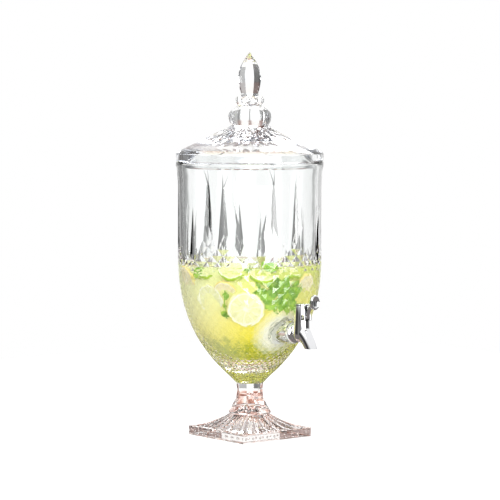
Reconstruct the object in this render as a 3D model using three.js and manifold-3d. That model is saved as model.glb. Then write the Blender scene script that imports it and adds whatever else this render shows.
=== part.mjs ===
// Footed cut-glass drink dispenser: bowl on a square fluted foot, conical lid with a finial,
// and a small lever tap. Millimetres, +Z up, the tap points to -Y.
import * as THREE from 'three';
import { mergeVertices } from 'three/addons/utils/BufferGeometryUtils.js';
import Module from 'manifold-3d';

// Fits between neighbours
const seatGap = 0.3;
const cutOverrun = 2;

// Facets round a bar and a small bar, steps along a bent one and bands from pole to pole
const barSegments = 20;
const smallSegments = 12;
const sweepSteps = 7;
const ballBands = 8;

// Foot and stem
const footSide = 100;
const footThickness = 10.7;
const footEdgeBevel = 0.9;
const skirtMargin = 3;
const skirtPower = 1.65;
const fluteDepth = 1.7;
const fluteFadeShare = 0.12;
const flutesPerSide = 6;
const collarHeight = 27.7;
const collarRadius = 24.7;
const collarLip = 1.8;
const stemFootHeight = 43.8;
const stemRadius = 15.7;
const stemWaistRadius = 14.9;
const pedestalHeight = 61.7;
const stemFacets = 8;

// Bowl
const bowlRimHeight = 316;
const bowlRadius = 82.2;
const bowlWall = 5;
const bowlFloorHeight = 88;
const bowlShoulderHeight = 213;
const bowlCurveFootHeight = 58;
const bowlNeckRadius = 15;
const bowlCurvePower = 2.4;
const bowlOuterFullness = 0.765;
const bowlInnerFullness = 0.5;
const rimFlare = 2.3;
const rimFlareStart = 26;
const rimBead = 4;
const innerSegments = 36;

// Cuts in the bowl: pointed spears above a lattice of sunk diamonds
const spearCount = 12;
const diamondsPerSpear = 3;
const tallSpearDrop = 10;
const shortSpearDrop = 50;
const spearHalfWidth = 5.5;
const spearTipHalfWidth = 0.5;
const spearDepth = 2.3;
const spearWidestShare = 0.2;
const latticeRise = 7;
const latticeFoot = 76;
const latticeStepRows = 4;
const shortSpearRow = 3;
const diamondDepthShare = 0.45;

// Boss for the tap
const tapHeight = 125.5;
const bossStand = 12.5;
const bossRadius = 12.6;
const bossRootRadius = 13.8;
const bossHoleRadius = 6.5;
const innerSeatInset = 6.55;
const innerSeatRadius = 16;

// Lid and finial
const lidEdgeHeight = 9.7;
const lidEdgeRound = 1.6;
const lidSlope = 0.471;
const lidThickness = 5;
const lipFit = 0.6;
const lipThickness = 4;
const lipDepth = 7.5;
const rayCount = 24;
const rayDepth = 1.5;
const rayEndShare = 0.68;
const rayStartRadius = 25;
const finialBaseRadius = 20;
const knobLobes = 6;
const knobRadius = 24.7;
const knobHeight = 22;
const knobCrease = 2.6;
const knobTopRadius = 14;
const beadCount = 8;
const beadRadius = 5.2;
const beadSegments = 8;
const beadBands = 6;
const beadCircleRadius = 12.2;
const beadRingHeight = 12.5;
const budFacets = 8;
const budNeckRadius = 10.3;
const budRadius = 14.1;
const budHeight = 48.3;
const budTipRadius = 0.65;
const budWidestShare = 0.42;
const lidTurn = -41;

// Tap casting, measured from the point where shank and barrel axes cross
const barrelFootRadius = 9.95;
const barrelTopRadius = 8.65;
const barrelTop = 31.8;
const barrelBore = 6.8;
const chamberBore = 6;
const chamberTop = 7.5;
const seatHeight = -1.5;
const neckRadius = 8.4;
const flangeRadius = 11.25;
const flangeThickness = 2.5;
const flangeFace = 11.4;
const shankRadius = 6;
const shankStand = 1.8;
const inletRadius = 3.5;
const inletRise = 2.2;
const spoutRootRadius = 8.4;
const spoutMouthRadius = 6.7;
const spoutWall = 2;
const spoutMouthReach = 16.8;
const spoutMouthDrop = 15.6;
const spoutThroatRadius = 3.4;
const spoutThroatRise = 8;
const spoutThroatDrop = 1.6;
const spoutBendReach = 8.4;
const spoutBendDrop = 5.6;
const slotHalfWidth = 2.8;
const slotFoot = 15;
const earThickness = 2.6;
const earReach = 10.9;
const earFoot = 15.4;
const earTop = 22.6;

// Lever
const pivotReach = 7.9;
const pivotHeight = 19;
const pinRadius = 1.1;
const pinClearance = 0.3;
const hubRadius = 2.7;
const bladeHalfWidth = 2.3;
const forkHalfWidth = 4.2;
const forkSlotHalfWidth = 2;
const forkPadRadius = 1.3;
const forkPadDrop = 1.73;
const forkShoulder = 4.8;
const forkSlotEnd = 3.4;
const leverNeckRadius = 2.2;
const paddleHalfHeight = 8.15;
const paddleHalfWidth = 6;
const paddleThickness = 4.8;
const paddleDish = 1.1;
const paddleBackShares = [[0, 0], [0.7, 0], [0.94, 0.2], [1, 0.5], [0.93, 0.82], [0.78, 1]];
const paddleDishShares = [0.6, 0.3];
const paddleReach = 19.3;
const paddleHeight = 35.7;

// Valve
const stemRodRadius = 1.5;
const stemFit = 0.35;
const stemCollarRadius = 4.5;
const stemCollarThickness = 2.5;
const stemSpigot = 3.2;
const plugRadius = 5.6;
const plugThickness = 3.9;
const plugSocketDepth = 2.4;
const plugNoseShare = 0.35;
const plugChamferShare = 0.2;
const guideHeight = 4.2;
const sealWireRadius = 0.75;
const sealPocketDepth = 2.1;
const sealSides = 6;
const springRadius = 3.4;
const springWireRadius = 0.45;
const springTurns = 5;
const springSeatHeight = 30.3;
const capThickness = 2.1;
const capRecess = 1;
const capCrown = 1.1;

// Washers and nut
const outerWasherRadius = 11.25;
const outerWasherThickness = 1.9;
const washerHoleFit = 0.35;
const innerWasherRadius = 14;
const innerWasherThickness = 2;
const nutAcrossFlats = 24;
const nutFlangeRadius = 14;
const nutFlangeThickness = 2;
const nutThickness = 8.4;

// Places that follow from the sizes above
const latticeTop = bowlShoulderHeight + latticeRise;
const tallSpearTop = bowlRimHeight - tallSpearDrop;
const shortSpearTop = bowlRimHeight - shortSpearDrop;
const flareFoot = bowlRimHeight - rimFlareStart;
const rimRadius = bowlRadius + rimFlare;
const lipRadius = bowlRadius - bowlWall - lipFit;
const rayEndRadius = bowlRadius * rayEndShare;
const bossReach = outerRadius(tapHeight) + bossStand;
const innerSeatReach = innerRadius(tapHeight) - innerSeatInset;
const barrelReach = bossReach + outerWasherThickness + 2 * seatGap + flangeFace;
const bossFace = barrelReach - bossReach;
const innerSeatFace = barrelReach - innerSeatReach;
const nutFoot = innerSeatFace + innerWasherThickness + 2 * seatGap;
const shankLength = nutFoot + nutThickness + shankStand;

const wasm = await Module();
wasm.setup();

const up = new THREE.Vector3(0, 0, 1);
const part = new THREE.Group();
part.name = 'drink_dispenser';

// A closed geometry with shared corners becomes a solid that can be cut and joined.
function solidOf(geometry) {
  const bare = geometry.clone();
  bare.deleteAttribute('normal');
  bare.deleteAttribute('uv');
  const merged = mergeVertices(bare);
  const mesh = new wasm.Mesh({
    numProp: 3,
    vertProperties: Float32Array.from(merged.attributes.position.array),
    triVerts: Uint32Array.from(merged.index.array),
  });
  return new wasm.Manifold(mesh);
}

function geometryOf(solid) {
  const mesh = solid.getMesh();
  const geometry = new THREE.BufferGeometry();
  geometry.setAttribute('position', new THREE.BufferAttribute(Float32Array.from(mesh.vertProperties), 3));
  geometry.setIndex(new THREE.BufferAttribute(Uint32Array.from(mesh.triVerts), 1));
  geometry.computeVertexNormals();
  return geometry;
}

function joined(geometries) {
  return geometries.map(solidOf).reduce((whole, next) => whole.add(next));
}

function cutBy(solid, geometries) {
  return geometries.map(solidOf).reduce((rest, next) => rest.subtract(next), solid);
}

function addPiece(parent, name, geometry, material) {
  const mesh = new THREE.Mesh(geometry, material);
  mesh.name = name;
  parent.add(mesh);
  return mesh;
}

function plainMaterial(color, roughness, metalness) {
  return new THREE.MeshStandardMaterial({ color, roughness, metalness });
}

// Skins a closed body over rings of points, bottom ring first, each running anticlockwise.
// leansLeft picks which diagonal splits the four-sided face after column i and row j.
function skin(rings, leansLeft = () => false) {
  const columns = rings[0].length;
  const positions = rings.flat().flatMap((point) => [point.x, point.y, point.z]);
  const index = [];
  for (let j = 0; j < rings.length - 1; j += 1) {
    for (let i = 0; i < columns; i += 1) {
      const next = (i + 1) % columns;
      const a = j * columns + i;
      const b = j * columns + next;
      const c = (j + 1) * columns + next;
      const d = (j + 1) * columns + i;
      if (leansLeft(i, j)) index.push(a, b, d, b, c, d);
      else index.push(a, b, c, a, c, d);
    }
  }
  const closeEnd = (ring, first, flip) => {
    const middle = ring.reduce((sum, point) => sum.add(point), new THREE.Vector3()).divideScalar(columns);
    const centre = positions.length / 3;
    positions.push(middle.x, middle.y, middle.z);
    for (let i = 0; i < columns; i += 1) {
      const next = (i + 1) % columns;
      if (flip) index.push(centre, first + next, first + i);
      else index.push(centre, first + i, first + next);
    }
  };
  closeEnd(rings[0], 0, true);
  closeEnd(rings[rings.length - 1], (rings.length - 1) * columns, false);
  const geometry = new THREE.BufferGeometry();
  geometry.setAttribute('position', new THREE.Float32BufferAttribute(positions, 3));
  geometry.setIndex(index);
  return geometry;
}

// Turns a profile of [radius, height] pairs about Z; it starts and ends on the axis.
function turned(profile, segments) {
  const points = profile.map(([radius, height]) => new THREE.Vector2(radius, height));
  return new THREE.LatheGeometry(points, segments).rotateX(Math.PI / 2);
}

function uprightBar(footRadius, topRadius, foot, top, segments = barSegments) {
  const bar = new THREE.CylinderGeometry(topRadius, footRadius, top - foot, segments);
  return bar.rotateX(Math.PI / 2).translate(0, 0, (foot + top) / 2);
}

// A round bar along Y, wide end radii given at its low and high Y ends.
function levelBar(lowRadius, highRadius, low, high, segments = barSegments) {
  const bar = new THREE.CylinderGeometry(highRadius, lowRadius, high - low, segments);
  return bar.translate(0, (low + high) / 2, 0);
}

function crossBar(radius, halfLength, segments = smallSegments) {
  return new THREE.CylinderGeometry(radius, radius, 2 * halfLength, segments).rotateZ(Math.PI / 2);
}

function block(low, high) {
  const size = high.map((value, axis) => value - low[axis]);
  const middle = high.map((value, axis) => (value + low[axis]) / 2);
  return new THREE.BoxGeometry(...size).translate(...middle);
}

// Sweeps a circle of changing radius along a curve that lies in the YZ plane.
function sweep(curve, startRadius, endRadius, steps, sides) {
  const rings = [];
  for (let j = 0; j <= steps; j += 1) {
    const share = j / steps;
    const centre = curve.getPoint(share);
    const along = curve.getTangent(share);
    const across = new THREE.Vector3(1, 0, 0);
    const over = new THREE.Vector3().crossVectors(along, across);
    const radius = startRadius + (endRadius - startRadius) * share;
    const ring = [];
    for (let i = 0; i < sides; i += 1) {
      const angle = (2 * Math.PI * i) / sides;
      ring.push(centre.clone()
        .addScaledVector(across, radius * Math.cos(angle))
        .addScaledVector(over, radius * Math.sin(angle)));
    }
    rings.push(ring);
  }
  return skin(rings);
}

// Distance from the axis to a regular polygon's edge, with a corner at firstCorner.
function polygonReach(angle, sides, cornerRadius, firstCorner) {
  const sector = (2 * Math.PI) / sides;
  const within = (((angle - firstCorner) % sector) + sector) % sector;
  return (cornerRadius * Math.cos(sector / 2)) / Math.cos(within - sector / 2);
}

function ringOf(columns, height, reachAt) {
  const ring = [];
  for (let i = 0; i < columns; i += 1) {
    const angle = (2 * Math.PI * i) / columns;
    const reach = reachAt(angle, i);
    ring.push(new THREE.Vector3(reach * Math.cos(angle), reach * Math.sin(angle), height));
  }
  return ring;
}

// Foot and stem: square plate, fluted skirt, eight-sided collar and stem
function pedestalGeometry() {
  const columns = 4 * 2 * flutesPerSide;
  const corner = Math.PI / 4;
  const square = (side) => (angle) => polygonReach(angle, 4, side / Math.SQRT2, corner);
  const facets = (radius) => (angle) => polygonReach(angle, stemFacets, radius, corner);
  const skirtFoot = square(footSide - 2 * skirtMargin);
  const skirtTop = facets(collarRadius - collarLip);
  const skirtTopHeight = collarHeight - collarLip;
  const skirtRise = skirtTopHeight - footThickness;
  const rings = [
    ringOf(columns, 0, square(footSide - 2 * footEdgeBevel)),
    ringOf(columns, footEdgeBevel, square(footSide)),
    ringOf(columns, footThickness - footEdgeBevel, square(footSide)),
    ringOf(columns, footThickness, square(footSide - 2 * footEdgeBevel)),
    ringOf(columns, footThickness, skirtFoot),
  ];
  const skirtShares = [0.88, 0.68, 0.45, 0.22, 0];
  skirtShares.forEach((share) => {
    const depth = fluteDepth * Math.sqrt(Math.sin(Math.PI * Math.min(1, share + fluteFadeShare)));
    const reachAt = (angle) => skirtTop(angle) + (skirtFoot(angle) - skirtTop(angle)) * share;
    const ring = ringOf(columns, 0, reachAt);
    ring.forEach((point, i) => {
      const ridge = i % 2 === 0 ? 0 : depth;
      point.z = footThickness + skirtRise * (1 - share) ** skirtPower - ridge * share ** 0.5;
    });
    rings.push(ring);
  });
  rings.push(ringOf(columns, collarHeight, facets(collarRadius)));
  rings.push(ringOf(columns, stemFootHeight, facets(stemRadius)));
  rings.push(ringOf(columns, (stemFootHeight + pedestalHeight) / 2, facets(stemWaistRadius)));
  rings.push(ringOf(columns, pedestalHeight, facets(stemRadius)));
  return geometryOf(solidOf(skin(rings)));
}

// Bowl: the outline is one curve from neck to shoulder, then straight to a flared rim
function fullness(height, foot, power) {
  const rise = Math.min(1, Math.max(0, (height - foot) / (bowlShoulderHeight - foot)));
  return (1 - (1 - rise) ** bowlCurvePower) ** power;
}

function flareAt(height) {
  const share = Math.min(1, Math.max(0, (height - flareFoot) / (rimFlareStart - rimBead)));
  return rimFlare * share * share;
}

function outerRadius(height) {
  const curve = bowlRadius * fullness(height, bowlCurveFootHeight, bowlOuterFullness);
  return Math.cbrt(curve ** 3 + bowlNeckRadius ** 3) + flareAt(height);
}

function innerRadius(height) {
  return (bowlRadius - bowlWall) * fullness(height, bowlFloorHeight, bowlInnerFullness) + flareAt(height);
}

// Row heights of the lattice: each half diamond is as high as it is wide, measured along the wall.
function latticeRows() {
  const halfTurns = 2 * spearCount * diamondsPerSpear;
  const rows = [latticeTop];
  while (rows[rows.length - 1] > latticeFoot) {
    const height = rows[rows.length - 1];
    const step = (2 * Math.PI * outerRadius(height)) / halfTurns;
    const lean = (outerRadius(height) - outerRadius(height - step)) / step;
    rows.push(height - step / Math.hypot(1, lean));
  }
  return rows;
}

// Half the width of a spear at a height, from its lower point to its upper one.
function spearWidth(height, foot, top) {
  if (height <= foot || height >= top) return 0;
  const widest = foot + (top - foot) * spearWidestShare;
  const share = height < widest ? (height - foot) / (widest - foot) : (top - height) / (top - widest);
  return spearHalfWidth * share;
}

function bowlOuter() {
  const columns = 2 * spearCount * diamondsPerSpear;
  const perSpear = 2 * diamondsPerSpear;
  const lattice = latticeRows();
  const shortFoot = lattice[shortSpearRow];
  const widest = latticeTop + (tallSpearTop - latticeTop) * spearWidestShare;
  const upper = [widest, shortSpearTop, flareFoot, tallSpearTop, bowlRimHeight - rimBead, bowlRimHeight];
  const base = pedestalHeight + seatGap;
  const neckRows = [base, (base + lattice[lattice.length - 1]) / 2];
  const heights = [...neckRows, ...lattice, ...upper].sort((low, high) => low - high);
  const rowOf = (height) => lattice.indexOf(height);
  const isCrossing = (i, row) => (i + row) % 2 === 1;

  // A diamond is cut where it lies under the zigzag between tall and short spears.
  const isCut = (i, row) => {
    const along = i % (2 * perSpear);
    const offset = Math.min(along, 2 * perSpear - along);
    return row > (latticeStepRows * offset) / perSpear && row < lattice.length - 1;
  };
  const isPit = (i, row) => {
    if (row < 0 || isCrossing(i, row)) return false;
    return isCut(i + 1, row) || isCut(i - 1 + columns, row) || isCut(i, row - 1) || isCut(i, row + 1);
  };
  const rings = heights.map((height) => {
    const row = rowOf(height);
    const radius = outerRadius(height);
    const ring = [];
    for (let i = 0; i < columns; i += 1) {
      const spear = Math.round(i / perSpear);
      const side = i - spear * perSpear;
      const isTall = spear % 2 === 0;
      const foot = isTall ? latticeTop : shortFoot;
      const width = spearWidth(height, foot, isTall ? tallSpearTop : shortSpearTop);
      let angle = (2 * Math.PI * i) / columns;
      let depth = 0;
      if (isPit(i, row)) {
        depth = (diamondDepthShare * Math.PI * radius) / columns;
      } else if (width > 0 && Math.abs(side) <= 1) {
        const edge = Math.max(width, spearTipHalfWidth) / radius;
        angle = (2 * Math.PI * spear * perSpear) / columns + side * edge;
        if (side === 0) depth = (spearDepth * width) / spearHalfWidth;
      }
      const reach = radius - depth;
      ring.push(new THREE.Vector3(reach * Math.cos(angle), reach * Math.sin(angle), height));
    }
    return ring;
  });

  // Faces of a diamond split along the ridge, which joins the two corners that are crossings.
  const leansLeft = (i, j) => {
    const row = rowOf(heights[j]);
    return row > 0 && !isCrossing(i, row);
  };
  return skin(rings, leansLeft).rotateZ(-Math.PI / 2);
}

function bowlHollow() {
  const heightShares = [0.004, 0.025, 0.07, 0.14, 0.24, 0.38, 0.55, 0.75, 1];
  const span = bowlShoulderHeight - bowlFloorHeight;
  const heights = heightShares.map((share) => bowlFloorHeight + span * share);
  heights.push(flareFoot, bowlRimHeight - rimBead, bowlRimHeight + cutOverrun);
  const profile = heights.map((height) => [innerRadius(height), height]);
  profile.unshift([0, bowlFloorHeight]);
  profile.push([0, bowlRimHeight + cutOverrun]);
  return turned(profile, innerSegments);
}

function bowlGeometry() {
  const outer = solidOf(bowlOuter());
  const atTap = (geometry) => geometry.translate(0, 0, tapHeight);
  const boss = atTap(levelBar(bossRadius, bossRootRadius, -bossReach, -innerSeatReach));
  const pad = atTap(levelBar(innerSeatRadius, innerSeatRadius, -bossReach, -innerSeatReach));
  const seatCut = atTap(levelBar(innerSeatRadius, innerSeatRadius, -innerSeatReach, -innerSeatRadius));
  const hole = atTap(levelBar(bossHoleRadius, bossHoleRadius, -bossReach - cutOverrun, -innerSeatRadius));
  const wall = cutBy(outer, [bowlHollow()]);
  const seated = wall.add(outer.intersect(solidOf(pad))).add(solidOf(boss));
  return geometryOf(cutBy(seated, [seatCut, hole]));
}

// Lid: one pressed piece from the edge to the tip of the finial
function lidRings(columns, seat) {
  const edgeTop = seat + lidEdgeHeight;
  const round = (reach) => () => reach;
  const coneAt = (reach) => edgeTop + (rimRadius - reach) * lidSlope;
  const cone = (reach, cut) => ringOf(columns, 0, round(reach)).map((point, i) => {
    point.z = coneAt(reach) + lidEdgeRound / 2 - (i % 2 === 1 ? cut : 0);
    return point;
  });
  const rayMiddle = (rayStartRadius + rayEndRadius) / 2;
  return {
    knobFoot: coneAt(finialBaseRadius) + lidEdgeRound / 2,
    rings: [
      ringOf(columns, seat, round(rimRadius - lidEdgeRound / 2)),
      ringOf(columns, seat + lidEdgeRound / 2, round(rimRadius)),
      ringOf(columns, edgeTop - lidEdgeRound, round(rimRadius)),
      ringOf(columns, edgeTop, round(rimRadius - lidEdgeRound)),
      cone(rayEndRadius, 0),
      cone((rayMiddle + rayEndRadius) / 2, rayDepth),
      cone(rayMiddle, rayDepth),
      cone(rayStartRadius, rayDepth / 2),
    ],
  };
}

// The lobed knob, the collar under the beads and the faceted bud, as rings above the cone.
function finialRings(columns, foot) {
  const lobed = (reach) => (angle) => {
    const wave = Math.abs(Math.cos((knobLobes * angle) / 2));
    return reach - (knobCrease * reach * (1 - wave)) / knobRadius;
  };
  const faceted = (reach) => (angle) => polygonReach(angle, budFacets, reach, Math.PI / budFacets);
  const round = (reach) => () => reach;
  const knobShares = [[0, 0.88], [0.2, 0.97], [0.47, 1], [0.74, 0.95], [0.92, 0.82]];
  const rings = knobShares.map(([rise, reach]) => ringOf(columns, foot + knobHeight * rise,
    lobed(knobRadius * reach)));
  const beadFoot = foot + knobHeight;
  const budFoot = beadFoot + beadRingHeight;
  rings.push(ringOf(columns, beadFoot, round(knobTopRadius)));
  rings.push(ringOf(columns, budFoot, round(budNeckRadius)));
  const budShares = [[0.08, 0.8], [0.2, 0.91], [budWidestShare, 1], [0.66, 0.8], [0.87, 0.38]];
  budShares.forEach(([rise, reach]) => {
    rings.push(ringOf(columns, budFoot + budHeight * rise, faceted(budRadius * reach)));
  });
  rings.push(ringOf(columns, budFoot + budHeight, round(budTipRadius)));
  return { rings, beadMiddle: beadFoot + beadRingHeight / 2 };
}

function lidHollow(seat) {
  const edgeTop = seat + lidEdgeHeight;
  const lipInner = lipRadius - lipThickness;
  const underside = (reach) => edgeTop + (rimRadius - reach) * lidSlope - lidThickness;
  return turned([
    [0, seat - lipDepth - cutOverrun],
    [lipInner, seat - lipDepth - cutOverrun],
    [lipInner, underside(lipInner)],
    [finialBaseRadius, underside(finialBaseRadius)],
    [0, underside(finialBaseRadius)],
  ], 2 * rayCount);
}

function lidGeometry() {
  const columns = 2 * rayCount;
  const seat = bowlRimHeight + seatGap;
  const dome = lidRings(columns, seat);
  const finial = finialRings(columns, dome.knobFoot);
  const shell = solidOf(skin([...dome.rings, ...finial.rings]));
  const lipFootRadius = lipRadius - lidEdgeRound;
  const lip = uprightBar(lipFootRadius, lipRadius, seat - lipDepth, seat + lidEdgeRound, columns);
  const beads = [];
  for (let i = 0; i < beadCount; i += 1) {
    const angle = (2 * Math.PI * (i + 0.5)) / beadCount;
    const bead = new THREE.SphereGeometry(beadRadius, beadSegments, beadBands);
    bead.rotateX(Math.PI / 2).translate(beadCircleRadius, 0, finial.beadMiddle).rotateZ(angle);
    beads.push(bead);
  }
  const whole = shell.add(joined([lip, ...beads]));
  return geometryOf(cutBy(whole, [lidHollow(seat)]));
}

// Tap casting: shank, flange, barrel, spout and lever ears
function spoutCurves() {
  const at = (reach, height) => new THREE.Vector3(0, -reach, height);
  const mouth = at(spoutMouthReach, -spoutMouthDrop);
  const bend = at(spoutBendReach, -spoutBendDrop);
  const past = mouth.clone().sub(bend).normalize().multiplyScalar(spoutWall + cutOverrun);
  const end = mouth.clone().add(past);
  return {
    outside: new THREE.CubicBezierCurve3(at(0, spoutThroatRise), at(0, seatHeight), bend, end),
    inside: new THREE.CubicBezierCurve3(at(0, seatHeight + cutOverrun), at(0, seatHeight - spoutThroatDrop),
      bend, end.clone().add(past)),
  };
}

function tapBodyGeometry() {
  const spout = spoutCurves();
  const ear = (low) => block([low, -earReach, earFoot], [low + earThickness, -barrelBore, earTop]);
  const casting = joined([
    uprightBar(barrelFootRadius, barrelTopRadius, 0, barrelTop),
    new THREE.SphereGeometry(barrelFootRadius, barSegments, ballBands).rotateX(Math.PI / 2),
    levelBar(neckRadius, neckRadius, 0, flangeFace - flangeThickness / 2),
    levelBar(flangeRadius, flangeRadius, flangeFace - flangeThickness, flangeFace),
    levelBar(shankRadius, shankRadius, 0, shankLength),
    sweep(spout.outside, spoutRootRadius, spoutMouthRadius, sweepSteps, smallSegments),
    ear(slotHalfWidth),
    ear(-slotHalfWidth - earThickness),
  ]);
  const inlet = levelBar(inletRadius, inletRadius, -chamberBore / 2, shankLength + cutOverrun, smallSegments)
    .rotateX(-Math.atan2(inletRise, shankLength)).translate(0, 0, inletRise);
  const pinHole = crossBar(pinRadius + pinClearance / 2, slotHalfWidth + earThickness + cutOverrun)
    .translate(0, -pivotReach, pivotHeight);
  const belowMouth = block([-barrelBore * 2, -spoutMouthReach * 2, -spoutMouthDrop * 2],
    [barrelBore * 2, 0, -spoutMouthDrop]);
  const mouthBore = spoutMouthRadius - spoutWall;
  const leverSlot = block([-slotHalfWidth, -earReach - cutOverrun, slotFoot],
    [slotHalfWidth, -barrelBore / 2, barrelTop + cutOverrun]);
  return geometryOf(cutBy(casting, [
    uprightBar(barrelBore, barrelBore, chamberTop, barrelTop + cutOverrun),
    uprightBar(chamberBore, chamberBore, seatHeight, chamberTop + cutOverrun),
    sweep(spout.inside, spoutThroatRadius, mouthBore, sweepSteps, smallSegments),
    inlet,
    leverSlot,
    pinHole,
    belowMouth,
  ]));
}

function capGeometry() {
  const seat = barrelTop + seatGap;
  const plug = barrelBore - seatGap;
  return turned([
    [0, springSeatHeight + capRecess],
    [springRadius + 2 * springWireRadius, springSeatHeight + capRecess],
    [springRadius + 2 * springWireRadius, springSeatHeight],
    [plug, springSeatHeight],
    [plug, seat],
    [barrelTopRadius, seat],
    [barrelTopRadius, seat + capThickness - capCrown],
    [barrelTopRadius - capCrown, seat + capThickness - capCrown / 4],
    [barrelTopRadius / 2, seat + capThickness],
    [0, seat + capThickness + capCrown / 4],
  ], barSegments);
}

// Lever: hub on the pin, fork under the stem's collar, neck and dished thumb paddle
function forkArm(halfWidth) {
  const outline = new THREE.Shape();
  const padHeight = pivotHeight - forkPadDrop;
  outline.moveTo(pivotReach, pivotHeight - hubRadius);
  outline.lineTo(pivotReach, padHeight + forkPadRadius);
  outline.lineTo(0, padHeight + forkPadRadius);
  outline.absarc(0, padHeight, forkPadRadius, Math.PI / 2, (3 * Math.PI) / 2, false);
  outline.lineTo(pivotReach, pivotHeight - hubRadius);
  const settings = { depth: 2 * halfWidth, bevelEnabled: false, curveSegments: smallSegments / 2 };
  const arm = new THREE.ExtrudeGeometry(outline, settings);
  return arm.translate(0, 0, -halfWidth).rotateX(Math.PI / 2).rotateZ(-Math.PI / 2);
}

function paddleGeometry() {
  const [dishEdgeShare, dishFlatShare] = paddleDishShares;
  const profile = paddleBackShares.map(([out, along]) => [paddleHalfHeight * out, paddleThickness * along]);
  profile.push(
    [paddleHalfHeight * dishEdgeShare, paddleThickness - paddleDish / 2],
    [paddleHalfHeight * dishFlatShare, paddleThickness - paddleDish],
    [0, paddleThickness - paddleDish],
  );
  const paddle = turned(profile, barSegments).rotateX(Math.PI / 2);
  return paddle.scale(paddleHalfWidth / paddleHalfHeight, 1, 1).translate(0, -paddleReach, paddleHeight);
}

function leverGeometry() {
  const at = (reach, height) => new THREE.Vector3(0, -reach, height);
  const neck = new THREE.CubicBezierCurve3(
    at(pivotReach, pivotHeight),
    at(pivotReach + 2 * hubRadius, pivotHeight + 2 * hubRadius),
    at(pivotReach + 2 * hubRadius, paddleHeight - hubRadius),
    at(paddleReach + paddleThickness / 2, paddleHeight),
  );
  const wide = solidOf(forkArm(forkHalfWidth));
  const bore = barrelBore * 2;
  const forkZone = block([-bore, -forkShoulder, 0], [bore, bore, barrelTop]);
  const slot = block([-forkSlotHalfWidth, -forkSlotEnd, 0], [forkSlotHalfWidth, bore, barrelTop]);
  const fork = wide.intersect(solidOf(forkZone));
  const hub = crossBar(hubRadius, bladeHalfWidth).translate(0, -pivotReach, pivotHeight);
  const body = joined([
    forkArm(bladeHalfWidth),
    hub,
    sweep(neck, leverNeckRadius, leverNeckRadius, sweepSteps, smallSegments / 2),
    paddleGeometry(),
  ]).add(fork);
  const pinHole = crossBar(pinRadius + pinClearance, bladeHalfWidth + cutOverrun)
    .translate(0, -pivotReach, pivotHeight);
  return geometryOf(cutBy(body, [slot, pinHole]));
}

function pinGeometry() {
  const halfLength = slotHalfWidth + earThickness;
  return crossBar(pinRadius - pinClearance / 2, halfLength).translate(0, -pivotReach, pivotHeight);
}

// Valve: stem, plug, guide and seal
const collarFoot = pivotHeight - forkPadDrop + forkPadRadius + seatGap;
const collarTop = collarFoot + stemCollarThickness;
const plugFoot = seatHeight + seatGap;
const plugTop = plugFoot + plugThickness;

function stemGeometry() {
  const foot = plugTop - plugSocketDepth + seatGap;
  return turned([
    [0, foot],
    [stemRodRadius, foot],
    [stemRodRadius, collarFoot],
    [stemCollarRadius, collarFoot],
    [stemCollarRadius, collarTop],
    [stemRodRadius, collarTop],
    [stemRodRadius, collarTop + stemSpigot],
    [0, collarTop + stemSpigot],
  ], smallSegments);
}

function plugGeometry() {
  const socket = stemRodRadius + seatGap;
  const nose = spoutThroatRadius - seatGap;
  return turned([
    [0, plugFoot],
    [nose, plugFoot],
    [plugRadius, plugFoot + plugThickness * plugNoseShare],
    [plugRadius, plugTop - plugThickness * plugChamferShare],
    [plugRadius - plugThickness * plugChamferShare, plugTop],
    [socket, plugTop],
    [socket, plugTop - plugSocketDepth],
    [0, plugTop - plugSocketDepth],
  ], smallSegments);
}

function guideGeometry() {
  const foot = chamberTop + seatGap;
  const bore = stemRodRadius + stemFit;
  const pocket = bore + 2 * sealWireRadius + seatGap;
  const outside = barrelBore - seatGap;
  return turned([
    [bore, foot + sealPocketDepth],
    [pocket, foot + sealPocketDepth],
    [pocket, foot],
    [outside, foot],
    [outside, foot + guideHeight],
    [bore, foot + guideHeight],
    [bore, foot + sealPocketDepth],
  ], barSegments);
}

function sealGeometry() {
  const foot = chamberTop + seatGap;
  const middle = stemRodRadius + stemFit + sealWireRadius;
  const ring = new THREE.TorusGeometry(middle, sealWireRadius, sealSides, smallSegments);
  return ring.translate(0, 0, foot + sealPocketDepth - seatGap - sealWireRadius);
}

// The spring is one wire: a helix whose tube has five sides, closed at both ends.
function springGeometry() {
  const foot = collarTop + seatGap + springWireRadius;
  const top = springSeatHeight + capRecess - seatGap - springWireRadius;
  const stepsPerTurn = 8;
  const sides = 5;
  const steps = springTurns * stepsPerTurn;
  const rings = [];
  for (let j = 0; j <= steps; j += 1) {
    const angle = (2 * Math.PI * j) / stepsPerTurn;
    const outward = new THREE.Vector3(Math.cos(angle), Math.sin(angle), 0);
    const centre = outward.clone().multiplyScalar(springRadius);
    centre.z = foot + ((top - foot) * j) / steps;
    const ring = [];
    for (let i = 0; i < sides; i += 1) {
      const round = (2 * Math.PI * i) / sides;
      ring.push(centre.clone()
        .addScaledVector(outward, springWireRadius * Math.cos(round))
        .addScaledVector(up, -springWireRadius * Math.sin(round)));
    }
    rings.push(ring);
  }
  return skin(rings);
}

// Washers and nut on the shank
const shankHole = shankRadius + washerHoleFit;

function washerGeometry(radius, low, high) {
  return geometryOf(cutBy(solidOf(levelBar(radius, radius, low, high)), [
    levelBar(shankHole, shankHole, low - cutOverrun, high + cutOverrun),
  ]));
}

function nutGeometry() {
  const top = nutFoot + nutThickness;
  const corner = nutAcrossFlats / Math.sqrt(3);
  const hexagon = new THREE.CylinderGeometry(corner, corner, nutThickness, 6)
    .rotateY(Math.PI / 6).translate(0, (nutFoot + top) / 2, 0);
  const flange = levelBar(nutFlangeRadius, nutFlangeRadius, nutFoot, nutFoot + nutFlangeThickness);
  const hole = levelBar(shankHole, shankHole, nutFoot - cutOverrun, top + cutOverrun);
  return geometryOf(cutBy(joined([hexagon, flange]), [hole]));
}

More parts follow.
